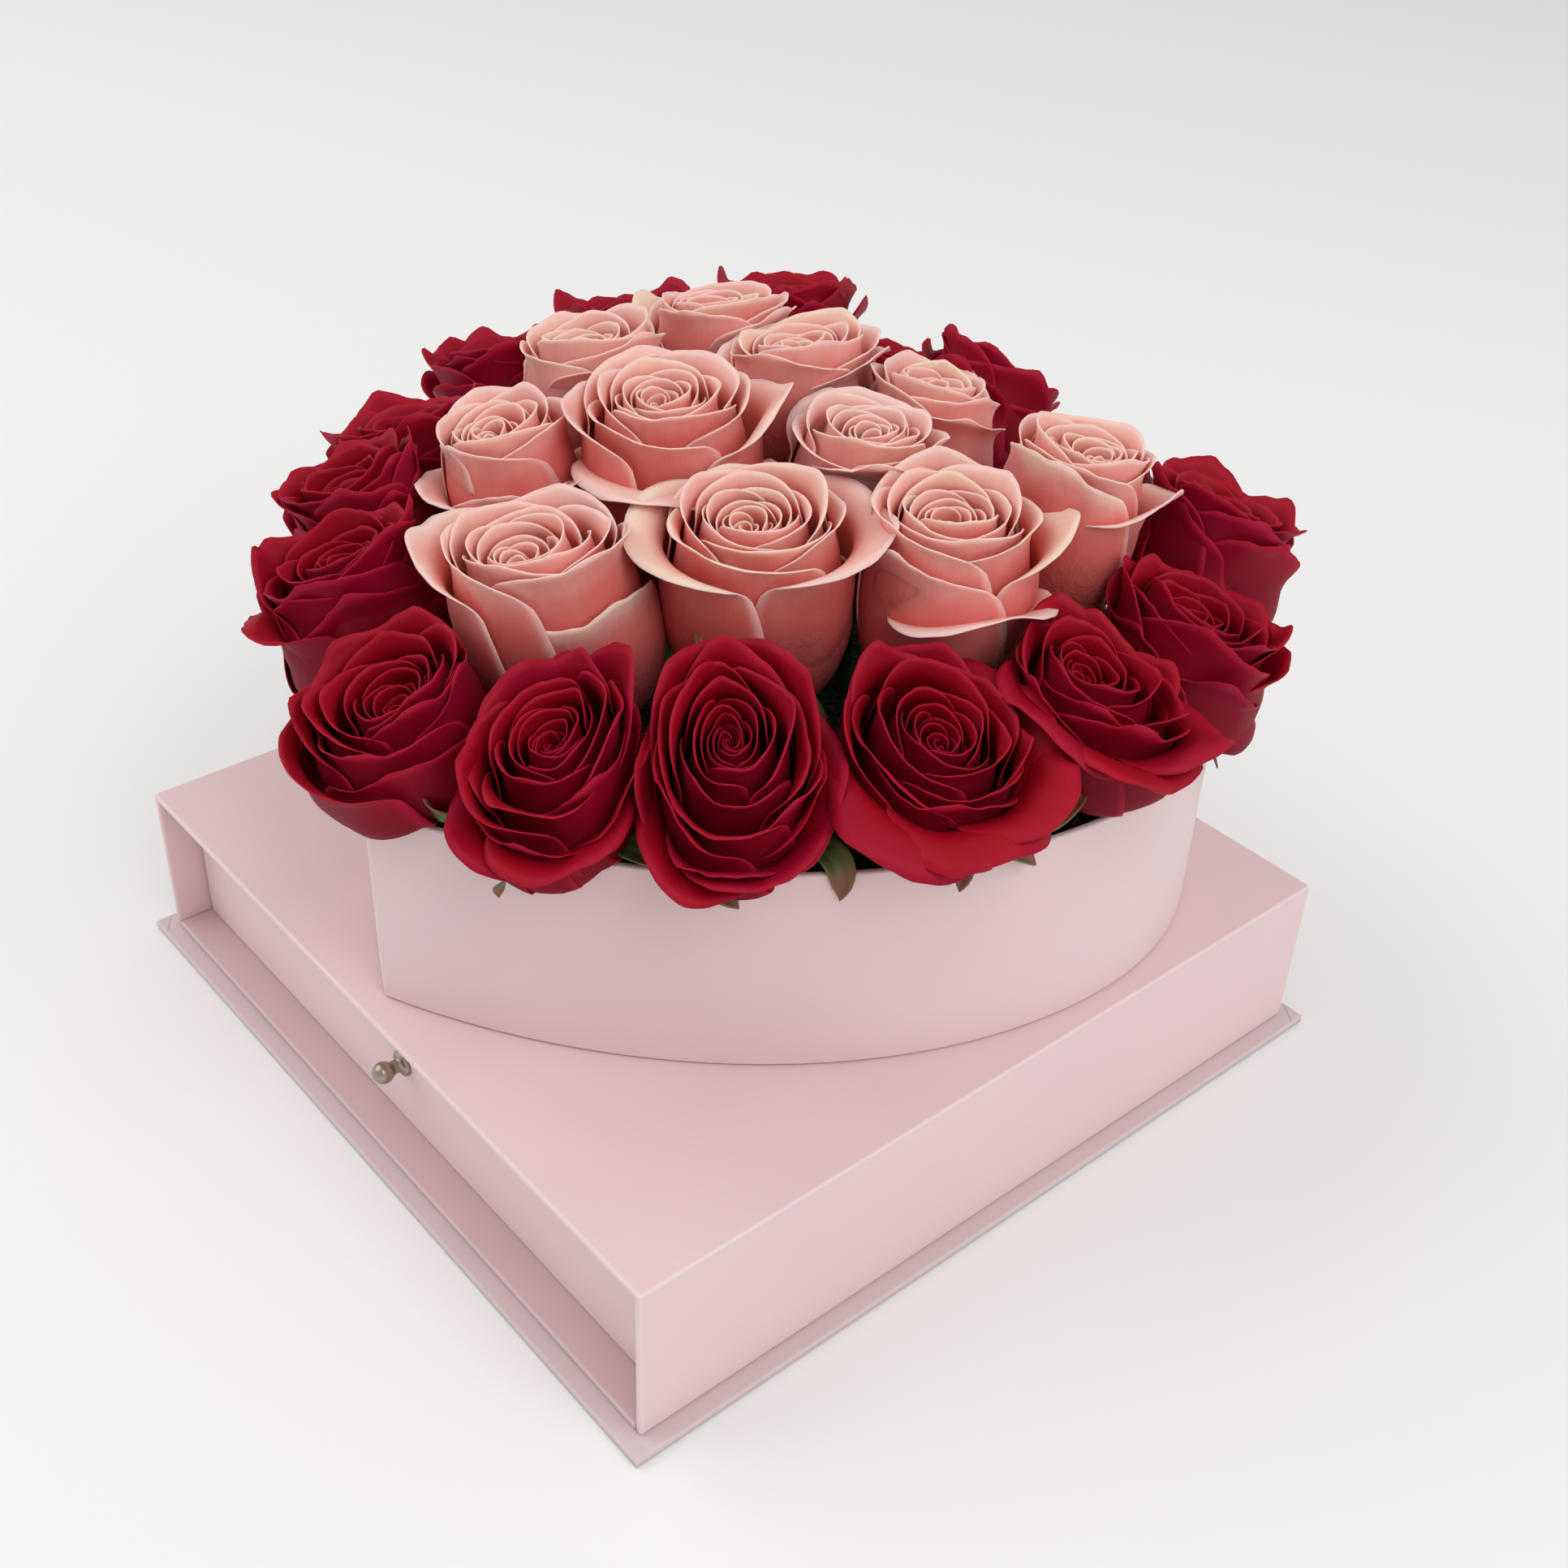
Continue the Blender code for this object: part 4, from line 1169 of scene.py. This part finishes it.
class PetalShape:
    """The surface of one petal, over a share across it and a share up it."""

    SPLIT = 0.7  # share of the petal's length below its rolled lip
    SWIRL = 0.05  # how far one side of a petal stands out past the other
    CROWDED_UP = 0.8  # power that draws a grid's rows up towards the rolled lip
    LIP_STEPS = 16  # steps in which the rolled lip is laid out
    SHOULDER = 0.42  # share of the petal's length below its round top
    ROUND = 0.92  # how round the top is, from 0, square, to 1, a half circle
    DENT = 0.026  # depth of a petal's soft dents, as a share of the radius
    DRIFT = 0.16  # how far the rose's heart stands off its middle, as a share of the radius
    ROOT = 0.10  # radius of the petal's root, as a share of the rose's
    NARROW = 0.25  # the root's width, as a share of the full width
    TIP_SPREAD = 0.22  # how far the drawn-out tip spreads across the petal
    TEETH = 21  # how many radians of fine waves the edge has from its middle to its side
    TEETH_SHARE = 0.25  # their depth beside that of the ruffle
    LEAST_RADIUS = 0.2 * MM

    def __init__(self, rose: Rose, whorl: Whorl, heading: float, draw: random.Random) -> None:
        """Draw the petal's own small differences.

        Args:
            rose: The rose.
            whorl: The petal's layer.
            heading: Where the petal's middle is, in degrees.
            draw: The rose's own random draws.
        """
        self.rose = rose
        self.whorl = whorl
        self.heading = math.radians(heading)
        self.half = math.radians(whorl.half * draw.uniform(0.94, 1.06))
        self.rim = whorl.rim * draw.uniform(0.96, 1.04)
        self.top = whorl.top * draw.uniform(0.97, 1.02)
        self.roll = math.radians(whorl.roll * draw.uniform(0.8, 1.2))
        self.lip = whorl.lip * draw.uniform(0.85, 1.15)
        self.point = whorl.point * draw.uniform(0.5, 1.5)
        self.lean = draw.uniform(-0.25, 0.25)
        drift = (1 - min(1.0, whorl.rim)) ** 1.5 * self.DRIFT * rose.radius
        sideways = rose.across * math.cos(rose.drift) + rose.side * math.sin(rose.drift)
        self.drift = np.array(sideways) * drift
        self.waves = [(draw.uniform(3, 6), draw.uniform(0, 6.3)) for _ in range(2)]
        self.dents = [
            (draw.uniform(-5, 5), draw.uniform(4, 8), draw.uniform(0, 6.3)) for _ in range(3)
        ]

    def width(self) -> float:
        """Return the petal's width along its rim, in metres."""
        return 2 * self.half * max(self.rim, self.whorl.belly) * self.rose.radius

    def points(self, across: np.ndarray, up: np.ndarray) -> np.ndarray:
        """Return the petal's points in the world.

        Args:
            across: Place across the petal, -1 to 1.
            up: Place up the petal, 0 at its root to 1 at its rim.

        Returns:
            One point for each place.
        """
        rose, whorl = self.rose, self.whorl
        shoulder = np.maximum(up - self.SHOULDER, 0) / (1 - self.SHOULDER)
        round_top = np.sqrt(1 - self.ROUND * across**2 / 2)
        length = np.minimum(up, self.SHOULDER) + (1 - self.SHOULDER) * shoulder * round_top
        tip = np.exp(-(((across - self.lean) / self.TIP_SPREAD) ** 2))
        length = length * (1 + self.point * tip * up**4)
        radius, height = self._profile(length, across)
        widening = np.sin(np.minimum(up / self.SHOULDER, 1) * math.pi / 2) ** 1.1
        width = self.NARROW + (1 - self.NARROW) * widening
        width = width * np.sqrt(1 - self.ROUND * shoulder**2 / 2)
        angle = self.heading + across * self.half * width
        radius = radius + rose.radius * self.SWIRL * across * smooth(length, 0.1, 0.5)
        wave = sum(np.sin(across * pace + start) for pace, start in self.waves) / 2
        teeth = np.sin(across * self.TEETH + self.waves[0][1]) * self.TEETH_SHARE
        teeth = teeth * smooth(length, 0.86, 1.0)
        fringe = smooth(length, 0.55, 1.0) * rose.radius * whorl.ruffle
        dents = sum(np.sin(across * x + length * y + start) for x, y, start in self.dents) / 3
        shell = min(1.0, whorl.belly * 1.2) * self.DENT * rose.radius
        radius = radius + wave * fringe + dents * shell * smooth(length, 0.15, 0.5)
        height = height + (np.cos(across * 4.4 + self.waves[1][1]) + teeth) * fringe * 0.8
        points = rose.in_world(np.maximum(radius, self.LEAST_RADIUS), angle, height)
        return points + smooth(length, 0.1, 0.8)[:, None] * self.drift

    def _profile(self, length: np.ndarray, across: np.ndarray) -> tuple[np.ndarray, np.ndarray]:
        """Return radius and height along the petal: a full belly, then a rolled lip."""
        wide, high = self.rose.radius, self.rose.height
        belly, rim, top = self.whorl.belly * wide, self.rim * wide, self.top * high
        t = np.clip(length / self.SPLIT, 0, 1)
        s = 1 - t
        root = self.ROOT * wide
        radius = root * s**3 + belly * 3 * s * s * t + belly * 1.06 * 3 * s * t * t + rim * t**3
        height = top * (0.07 * 3 * s * s * t + 0.6 * 3 * s * t * t + t**3)
        start = math.atan2(rim - belly * 1.06, top * 0.4)
        rolled = self.roll * (0.8 + 0.35 * np.abs(across) ** 1.5)
        along = np.maximum(length / self.SPLIT - 1, 0) * self.SPLIT / (1 - self.SPLIT)
        for step in range(self.LIP_STEPS):
            part = np.minimum(1.0, along) * (step + 0.5) / self.LIP_STEPS
            bend = start + rolled * (1 - (1 - part) ** self.whorl.fold)
            radius = radius + np.sin(bend) * along * self.lip * high / self.LIP_STEPS
            height = height + np.cos(bend) * along * self.lip * high / self.LIP_STEPS
        return radius, height


class SepalShape:
    """The narrow curled sepals under a bloom."""

    COUNT = 5
    WIDTH = 5.2 * MM
    FAR = 0.62  # share of a hanging sepal that lies before its knee
    NEAR = 1 - FAR

    def __init__(self, rose: Rose) -> None:
        """Keep the rose that the sepals belong to."""
        self.rose = rose

    def hanging(self, across: np.ndarray, up: np.ndarray, sepal: Sepal) -> np.ndarray:
        """Return the points of a sepal that shows.

        Args:
            across: Place across the sepal, -1 to 1.
            up: Place along it, 0 at the calyx to 1 at its tip.
            sepal: Where it points and how it hangs.

        Returns:
            One point for each place.
        """
        calyx = np.array(self.rose.base - self.rose.axis * 2 * MM)
        knee, tip = np.array(sepal.knee) * MM, np.array(sepal.tip) * MM
        bow = (knee - calyx * self.NEAR**2 - tip * self.FAR**2) / (2 * self.NEAR * self.FAR)
        t, s = up[:, None], 1 - up[:, None]
        rib = calyx * s**2 + bow * 2 * s * t + tip * t**2
        along = (bow - calyx) * s + (tip - bow) * t
        side = np.cross((0.0, 0.0, 1.0), along)
        side = side / np.linalg.norm(side, axis=1)[:, None]
        rise = np.cross(along, side)
        rise = rise / np.linalg.norm(rise, axis=1)[:, None]
        width = self._outline(up**1.6) * sepal.width / 2 * MM
        lifted = across * width * sepal.twist + across**2 * width * 0.45
        return rib + side * (across * width)[:, None] + rise * lifted[:, None]

    def _outline(self, up: np.ndarray) -> np.ndarray:
        """Return the sepal's width along its length, as a share of the greatest."""
        return np.sin(np.clip(up**1.5 * 0.86 + 0.14, 0, 1) * math.pi) ** 0.75

    def spread(
        self, across: np.ndarray, up: np.ndarray, heading: float, draw: random.Random,
    ) -> np.ndarray:
        """Return the points of a sepal that lies under the petals.

        Args:
            across: Place across the sepal, -1 to 1.
            up: Place along it, 0 at the calyx to 1 at its tip.
            heading: Where it points, in degrees.
            draw: The rose's own random draws.

        Returns:
            One point for each place.
        """
        rose = self.rose
        length = rose.radius * draw.uniform(0.75, 1.0)
        curl = draw.uniform(-1.0, 1.0)
        reach = 3.0 * MM + up * length * (1 - 0.12 * up)
        width = self.WIDTH / 2 * self._outline(up)
        drop = smooth(up, 0.55, 1.0) * length * draw.uniform(0.1, 0.5)
        belly = 0.30 * rose.height * np.clip(reach / rose.radius, 0, 1) ** 2.2
        level = belly - 2.0 * MM - drop + np.abs(across) * width * 0.35
        sideways = across * width + curl * up**2.5 * 4 * MM
        angle = math.radians(heading) + sideways / np.maximum(reach, 3 * MM)
        return rose.in_world(reach, angle, level)


BACK = Whorl(3, 0.91, 0.76, 0.87, 92, 80, 0.15, 0.04, 0.020)
CUP = (Whorl(4, 0.80, 0.73, 0.80, 74, 70, 0.20, 0.08, 0.036),)

ROSE_PLAN = (
    Rose(
        "red_01", Kind.RED, (-5, -101, 148), 18, -95, 10, 1.04,
        CUP + (
            guard(-20, 0.66, 60, 0.14, 74), guard(-100, 0.72, 84, 0.16, 74),
            guard(170, 0.7, 90, 0.16, 70),
        ),
        (Sepal((19, -106, 119), (19, -111, 128), 7, 0.2),),
    ),
    Rose(
        "red_02", Kind.RED, (38, -83, 148), 17, -58, 58, 1.06,
        Kind.RED.value.guards + reflexed(-100, -30, top=0.58, lip=0.36, roll=112, half=74),
        (Sepal((45, -101, 118.5), (43, -106, 110), 6), Sepal((57, -77, 120), (69, -73, 119), 8)),
    ),
    Rose(
        "red_03", Kind.RED, (66, -55, 148), 20, -42, 75, 1.14,
        Kind.RED.value.guards + reflexed(-85, -20, 35, top=0.6, lip=0.36, roll=108, half=70),
        (Sepal((79, -67, 119), (84, -64, 112), 10), Sepal((89, -40, 120), (95, -41, 110), 7)),
    ),
    Rose(
        "red_04", Kind.RED, (89, -8, 147), 14, -22, 20, 1.08,
        CUP + reflexed(-70, -25, 20, 70, lip=0.5),
        (Sepal((109, -4, 120), (117, 5, 113), 10), Sepal((108, -14, 119), (113, -18, 113), 6)),
    ),
    Rose(
        "red_05", Kind.RED, (100, 41, 149), 14, 10, 55, 1.04,
        Kind.RED.value.guards[:1] + reflexed(-85, -35, 15, lip=0.4),
        (Sepal((112, 9, 120), (115, 24, 126), 9), Sepal((113, 53, 120), (111, 76, 121), 9)),
    ),
    Rose("red_06", Kind.RED, (96, 80, 152), 16, 36, 5, 1.04),
    Rose("red_07", Kind.RED, (73, 116, 163), 18, 72, 30, 0.94),
    Rose("red_08", Kind.RED, (27, 102, 152), 12, 95, 60, 0.84),
    Rose("red_09", Kind.RED, (-16, 117, 170), 35, 88, 15, 0.90),
    Rose("red_10", Kind.RED, (-58, 116, 160), 18, 96, 50, 0.86),
    Rose("red_11", Kind.RED, (-96, 104, 174), 16, 132, 25, 0.96),
    Rose("red_12", Kind.RED, (-119, 52, 172), 16, 172, 65, 0.98),
    Rose("red_13", Kind.RED, (-120, 6, 168), 17, 186, 35, 0.96),
    Rose("red_14", Kind.RED, (-104, -38, 162), 18, 206, 30, 0.94),
    Rose("red_15", Kind.RED, (-82, -67, 163), 22, 226, 30, 0.94),
    Rose("red_16", Kind.RED, (-55, -89, 157), 22, 236, 44, 0.98),
    Rose(
        "pink_01", Kind.PINK, (-9, -62, 172), 8, -100, 12, 1.08,
        (BACK, guard(0, 0.66, 34, 0.12, 70), guard(-140, 0.80, 125, 0.26, 84)),
        (Sepal((13, -28, 138), (12, -23, 152), 6),),
    ),
    Rose(
        "pink_02", Kind.PINK, (22, -8, 177), 8, -45, 48, 1.02,
        (
            BACK, guard(38, 0.84, 118, 0.26, 88), guard(-118, 0.84, 118, 0.26, 88),
            guard(30, 0.60, 40, 0.1, 60),
        ),
        (Sepal((33, -32, 142), (25, -31, 151), 5), Sepal((21, 40, 140), (21, 42, 151), 5)),
        0.88, 0.1,
    ),
    Rose(
        "pink_03", Kind.PINK, (53, 35, 178), 6, -20, 30, 1.04,
        (
            BACK, guard(-75, 0.78, 60, 0.14, 70), guard(-18, 0.52, 128, 0.36, 84, 0.86, 0.04, 2.2),
            guard(48, 0.76, 120, 0.26, 70),
        ),
    ),
    Rose(
        "pink_04", Kind.PINK, (58, 79, 184), 8, 50, 64, 1.00,
        (BACK, guard(-80, 0.82, 60, 0.16, 80), guard(20, 0.66, 122, 0.34, 80, 0.86, 0.06, 2.0)),
    ),
    Rose(
        "pink_05", Kind.PINK, (-31, 1, 188), 4, -45, 20, 1.08,
        (
            BACK, guard(-120, 0.84, 80, 0.16, 70), guard(-38, 0.66, 118, 0.34, 92, 0.9, 0.04, 2.0),
            guard(45, 0.80, 80, 0.2, 70),
        ),
        (), 0.86, 0.15,
    ),
    Rose(
        "pink_06", Kind.PINK, (-61, -36, 179), 8, 215, 55, 0.98,
        (
            BACK, guard(-105, 0.58, 112, 0.26, 74), guard(-30, 0.68, 50, 0.12, 70),
            guard(25, 0.64, 110, 0.24, 70),
        ),
    ),
    Rose("pink_07", Kind.PINK, (9, 41, 184), 4, 0, 5, 0.92, (), (), 0.88, 1.0),
    Rose("pink_08", Kind.PINK, (-2, 76, 183), 11, 98, 38, 0.94, (), (), 1.0, 0.5),
    Rose("pink_09", Kind.PINK, (-36, 58, 189), 5, 130, 70, 1.00, (), (), 1.0, 0.5),
    Rose("pink_10", Kind.PINK, (-80, 11, 187), 8, 188, 26, 0.98, (), (), 1.0, 0.8),
    Rose("pink_11", Kind.PINK, (-76, 54, 188), 8, 150, 60, 0.98, (), (), 1.0, 0.3),
)


@dataclass(frozen=True)
class Lamp:
    """A large soft lamp that faces the box.

    Attributes:
        name: Its name.
        place: Where it hangs, in metres.
        side: The side of its square face, in metres.
        power: Its power in watts.
    """

    name: str
    place: Place
    side: float
    power: float


@dataclass
class Studio:
    """The pale floor, the soft light and the camera at the photograph's angle."""

    camera_at: Vector = field(default_factory=lambda: Vector((362.25, -298.25, 405.75)) * MM)
    aim: Vector = field(default_factory=lambda: Vector((-16.6, 38.2, 48.4)) * MM)
    camera_roll: float = math.radians(2.5)
    lens: float = 44.29
    floor_side: float = 12.0
    floor_below: float = 0.3 * MM
    sky: float = 0.62
    table: Colour = (0.86, 0.855, 0.85)
    lamps: tuple[Lamp, ...] = (
        Lamp("key", (1.5, 0.0, 1.7), 1.8, 21.0),
        Lamp("fill", (-1.2, -0.8, 1.5), 2.0, 15.0),
    )

    def build(self) -> None:
        """Set up the camera, the floor, the lamps and the sky."""
        self._camera()
        self._floor()
        for lamp in self.lamps:
            self._hang(lamp)
        self._sky()

    def _camera(self) -> None:
        """The camera, where the photographer's was."""
        data = bpy.data.cameras.new("portrait")
        data.lens = self.lens
        data.sensor_width = 36.0
        camera = bpy.data.objects.new("portrait", data)
        camera.rotation_mode = "QUATERNION"
        camera.location = self.camera_at
        level = (self.aim - self.camera_at).to_track_quat("-Z", "Y")
        camera.rotation_quaternion = level @ Quaternion((0, 0, 1), self.camera_roll)
        bpy.context.scene.collection.objects.link(camera)
        bpy.context.scene.camera = camera

    def _floor(self) -> None:
        """The plain pale table top."""
        bm = bmesh.new()
        bmesh.ops.create_grid(bm, x_segments=1, y_segments=1, size=self.floor_side / 2)
        bmesh.ops.translate(bm, verts=bm.verts, vec=(0, 0, -self.floor_below))
        paint = Paint("table top")
        paint.surface(Base_Color=self.table, Roughness=0.6)
        floor = finished_piece("table_top", bm, [paint.material])

    def _hang(self, lamp: Lamp) -> None:
        """Hang one lamp, turned towards the box."""
        data = bpy.data.lights.new(lamp.name, "AREA")
        data.size = lamp.side
        data.energy = lamp.power
        light = bpy.data.objects.new(lamp.name, data)
        light.location = lamp.place
        light.rotation_euler = (self.aim - light.location).to_track_quat("-Z", "Y").to_euler()
        bpy.context.scene.collection.objects.link(light)

    def _sky(self) -> None:
        """Even light from all round."""
        world = bpy.data.worlds.new("soft light")
        world.use_nodes = True
        background = world.node_tree.nodes["Background"]
        background.inputs["Color"].default_value = (1.0, 1.0, 1.0, 1.0)
        background.inputs["Strength"].default_value = self.sky
        bpy.context.scene.world = world
        bpy.context.scene.view_settings.view_transform = "Standard"


def box_papers() -> dict[str, bpy.types.Material]:
    """Make the finishes of both boxes.

    Returns:
        Materials by name.
    """
    pink, pale = (0.785, 0.575, 0.59), (0.91, 0.80, 0.80)
    # The heart's paper is darker than the sleeve's: partly its own colour, partly painted shade of
    # the roses that overhang the heart's wall.
    heart, drawer = (0.765, 0.572, 0.582), (0.83, 0.61, 0.62)
    dusky, light = (0.62, 0.44, 0.46), (0.76, 0.62, 0.63)
    # The crease and pore colours are painted shade in the hollows of the film and the foam.
    film, creases = (0.75, 0.78, 0.76), (0.6, 0.64, 0.62)
    foam, pores = (0.05, 0.13, 0.05), (0.01, 0.04, 0.015)
    return {
        "sleeve": WrappedPaper("sleeve paper", pink, pale, *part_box("sleeve_shell")).make(),
        "heart": WrappedPaper("heart paper", heart, pale, *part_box("heart_wall")).make(),
        "drawer": WrappedPaper("drawer paper", drawer, pale, *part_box("drawer_tray")).make(),
        "base": WrappedPaper(
            "base paper", (0.64, 0.50, 0.51), light, *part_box("base_board"), low_grey_to=1.2 * MM,
        ).make(),
        "dusky": WrappedPaper("floor paper", dusky, light, *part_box("inner_floor")).make(),
        "nickel": Metal("turned nickel", (0.42, 0.37, 0.29), 0.22).make(),
        "steel": Metal("plain steel", (0.55, 0.55, 0.56), 0.35).make(),
        "film": Crumb("liner film", film, creases, 120, 0.1 * MM, 0.35).make(),
        "foam": Crumb("wet foam", foam, pores, 700, 0.5 * MM, 0.95).make(),
    }


def petal_finishes() -> dict[Kind, list]:
    """Make the two faces of both kinds of petal.

    Returns:
        For each kind, the material of the petals' backs and that of their faces.
    """
    # Each root colour is partly painted shade deep in the bloom, each tip colour partly painted
    # light on the rims.
    crimson = Petal(
        "crimson petal face", (0.08, 0.0, 0.002), (0.27, 0.0, 0.006), (0.33, 0.0, 0.010),
        (0.38, 0.002, 0.02), (0.24, 0.0, 0.028), 0.0, 0.03 * MM,
    )
    dusty = Petal(
        "crimson petal back", (0.12, 0.0, 0.005), (0.20, 0.0, 0.010), (0.28, 0.0, 0.015),
        (0.40, 0.004, 0.03), (0.22, 0.002, 0.045), 0.04, 0.06 * MM,
    )
    blush = Petal(
        "blush petal face", (0.78, 0.09, 0.05), (0.86, 0.24, 0.18), (0.92, 0.50, 0.44),
        (0.94, 0.66, 0.61), (0.88, 0.66, 0.44), 0.0, 0.03 * MM, 0.35, 0.3, 0.55,
    )
    coral = Petal(
        "blush petal back", (0.50, 0.045, 0.042), (0.68, 0.105, 0.09), (0.88, 0.42, 0.37),
        (0.93, 0.64, 0.60), (0.86, 0.62, 0.44), 0.04, 0.12 * MM, 0.35, 0.3, 0.55,
    )
    return {Kind.RED: [dusty.make(), crimson.make()], Kind.PINK: [coral.make(), blush.make()]}


def main() -> None:
    """Dress the boxes, grow the roses and set up the portrait."""
    logging.basicConfig(level=logging.INFO)
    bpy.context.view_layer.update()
    Studio().build()
    papers = box_papers()
    heart = HeartBox()
    DrawerBox().build(papers)
    heart.build(papers)
    leaf = Leaf("sepal green", (0.05, 0.12, 0.025), (0.16, 0.26, 0.07), (0.20, 0.09, 0.04))
    Bouquet(heart, list(ROSE_PLAN)).build(petal_finishes(), leaf.make())


if __name__ == "__main__":
    main()
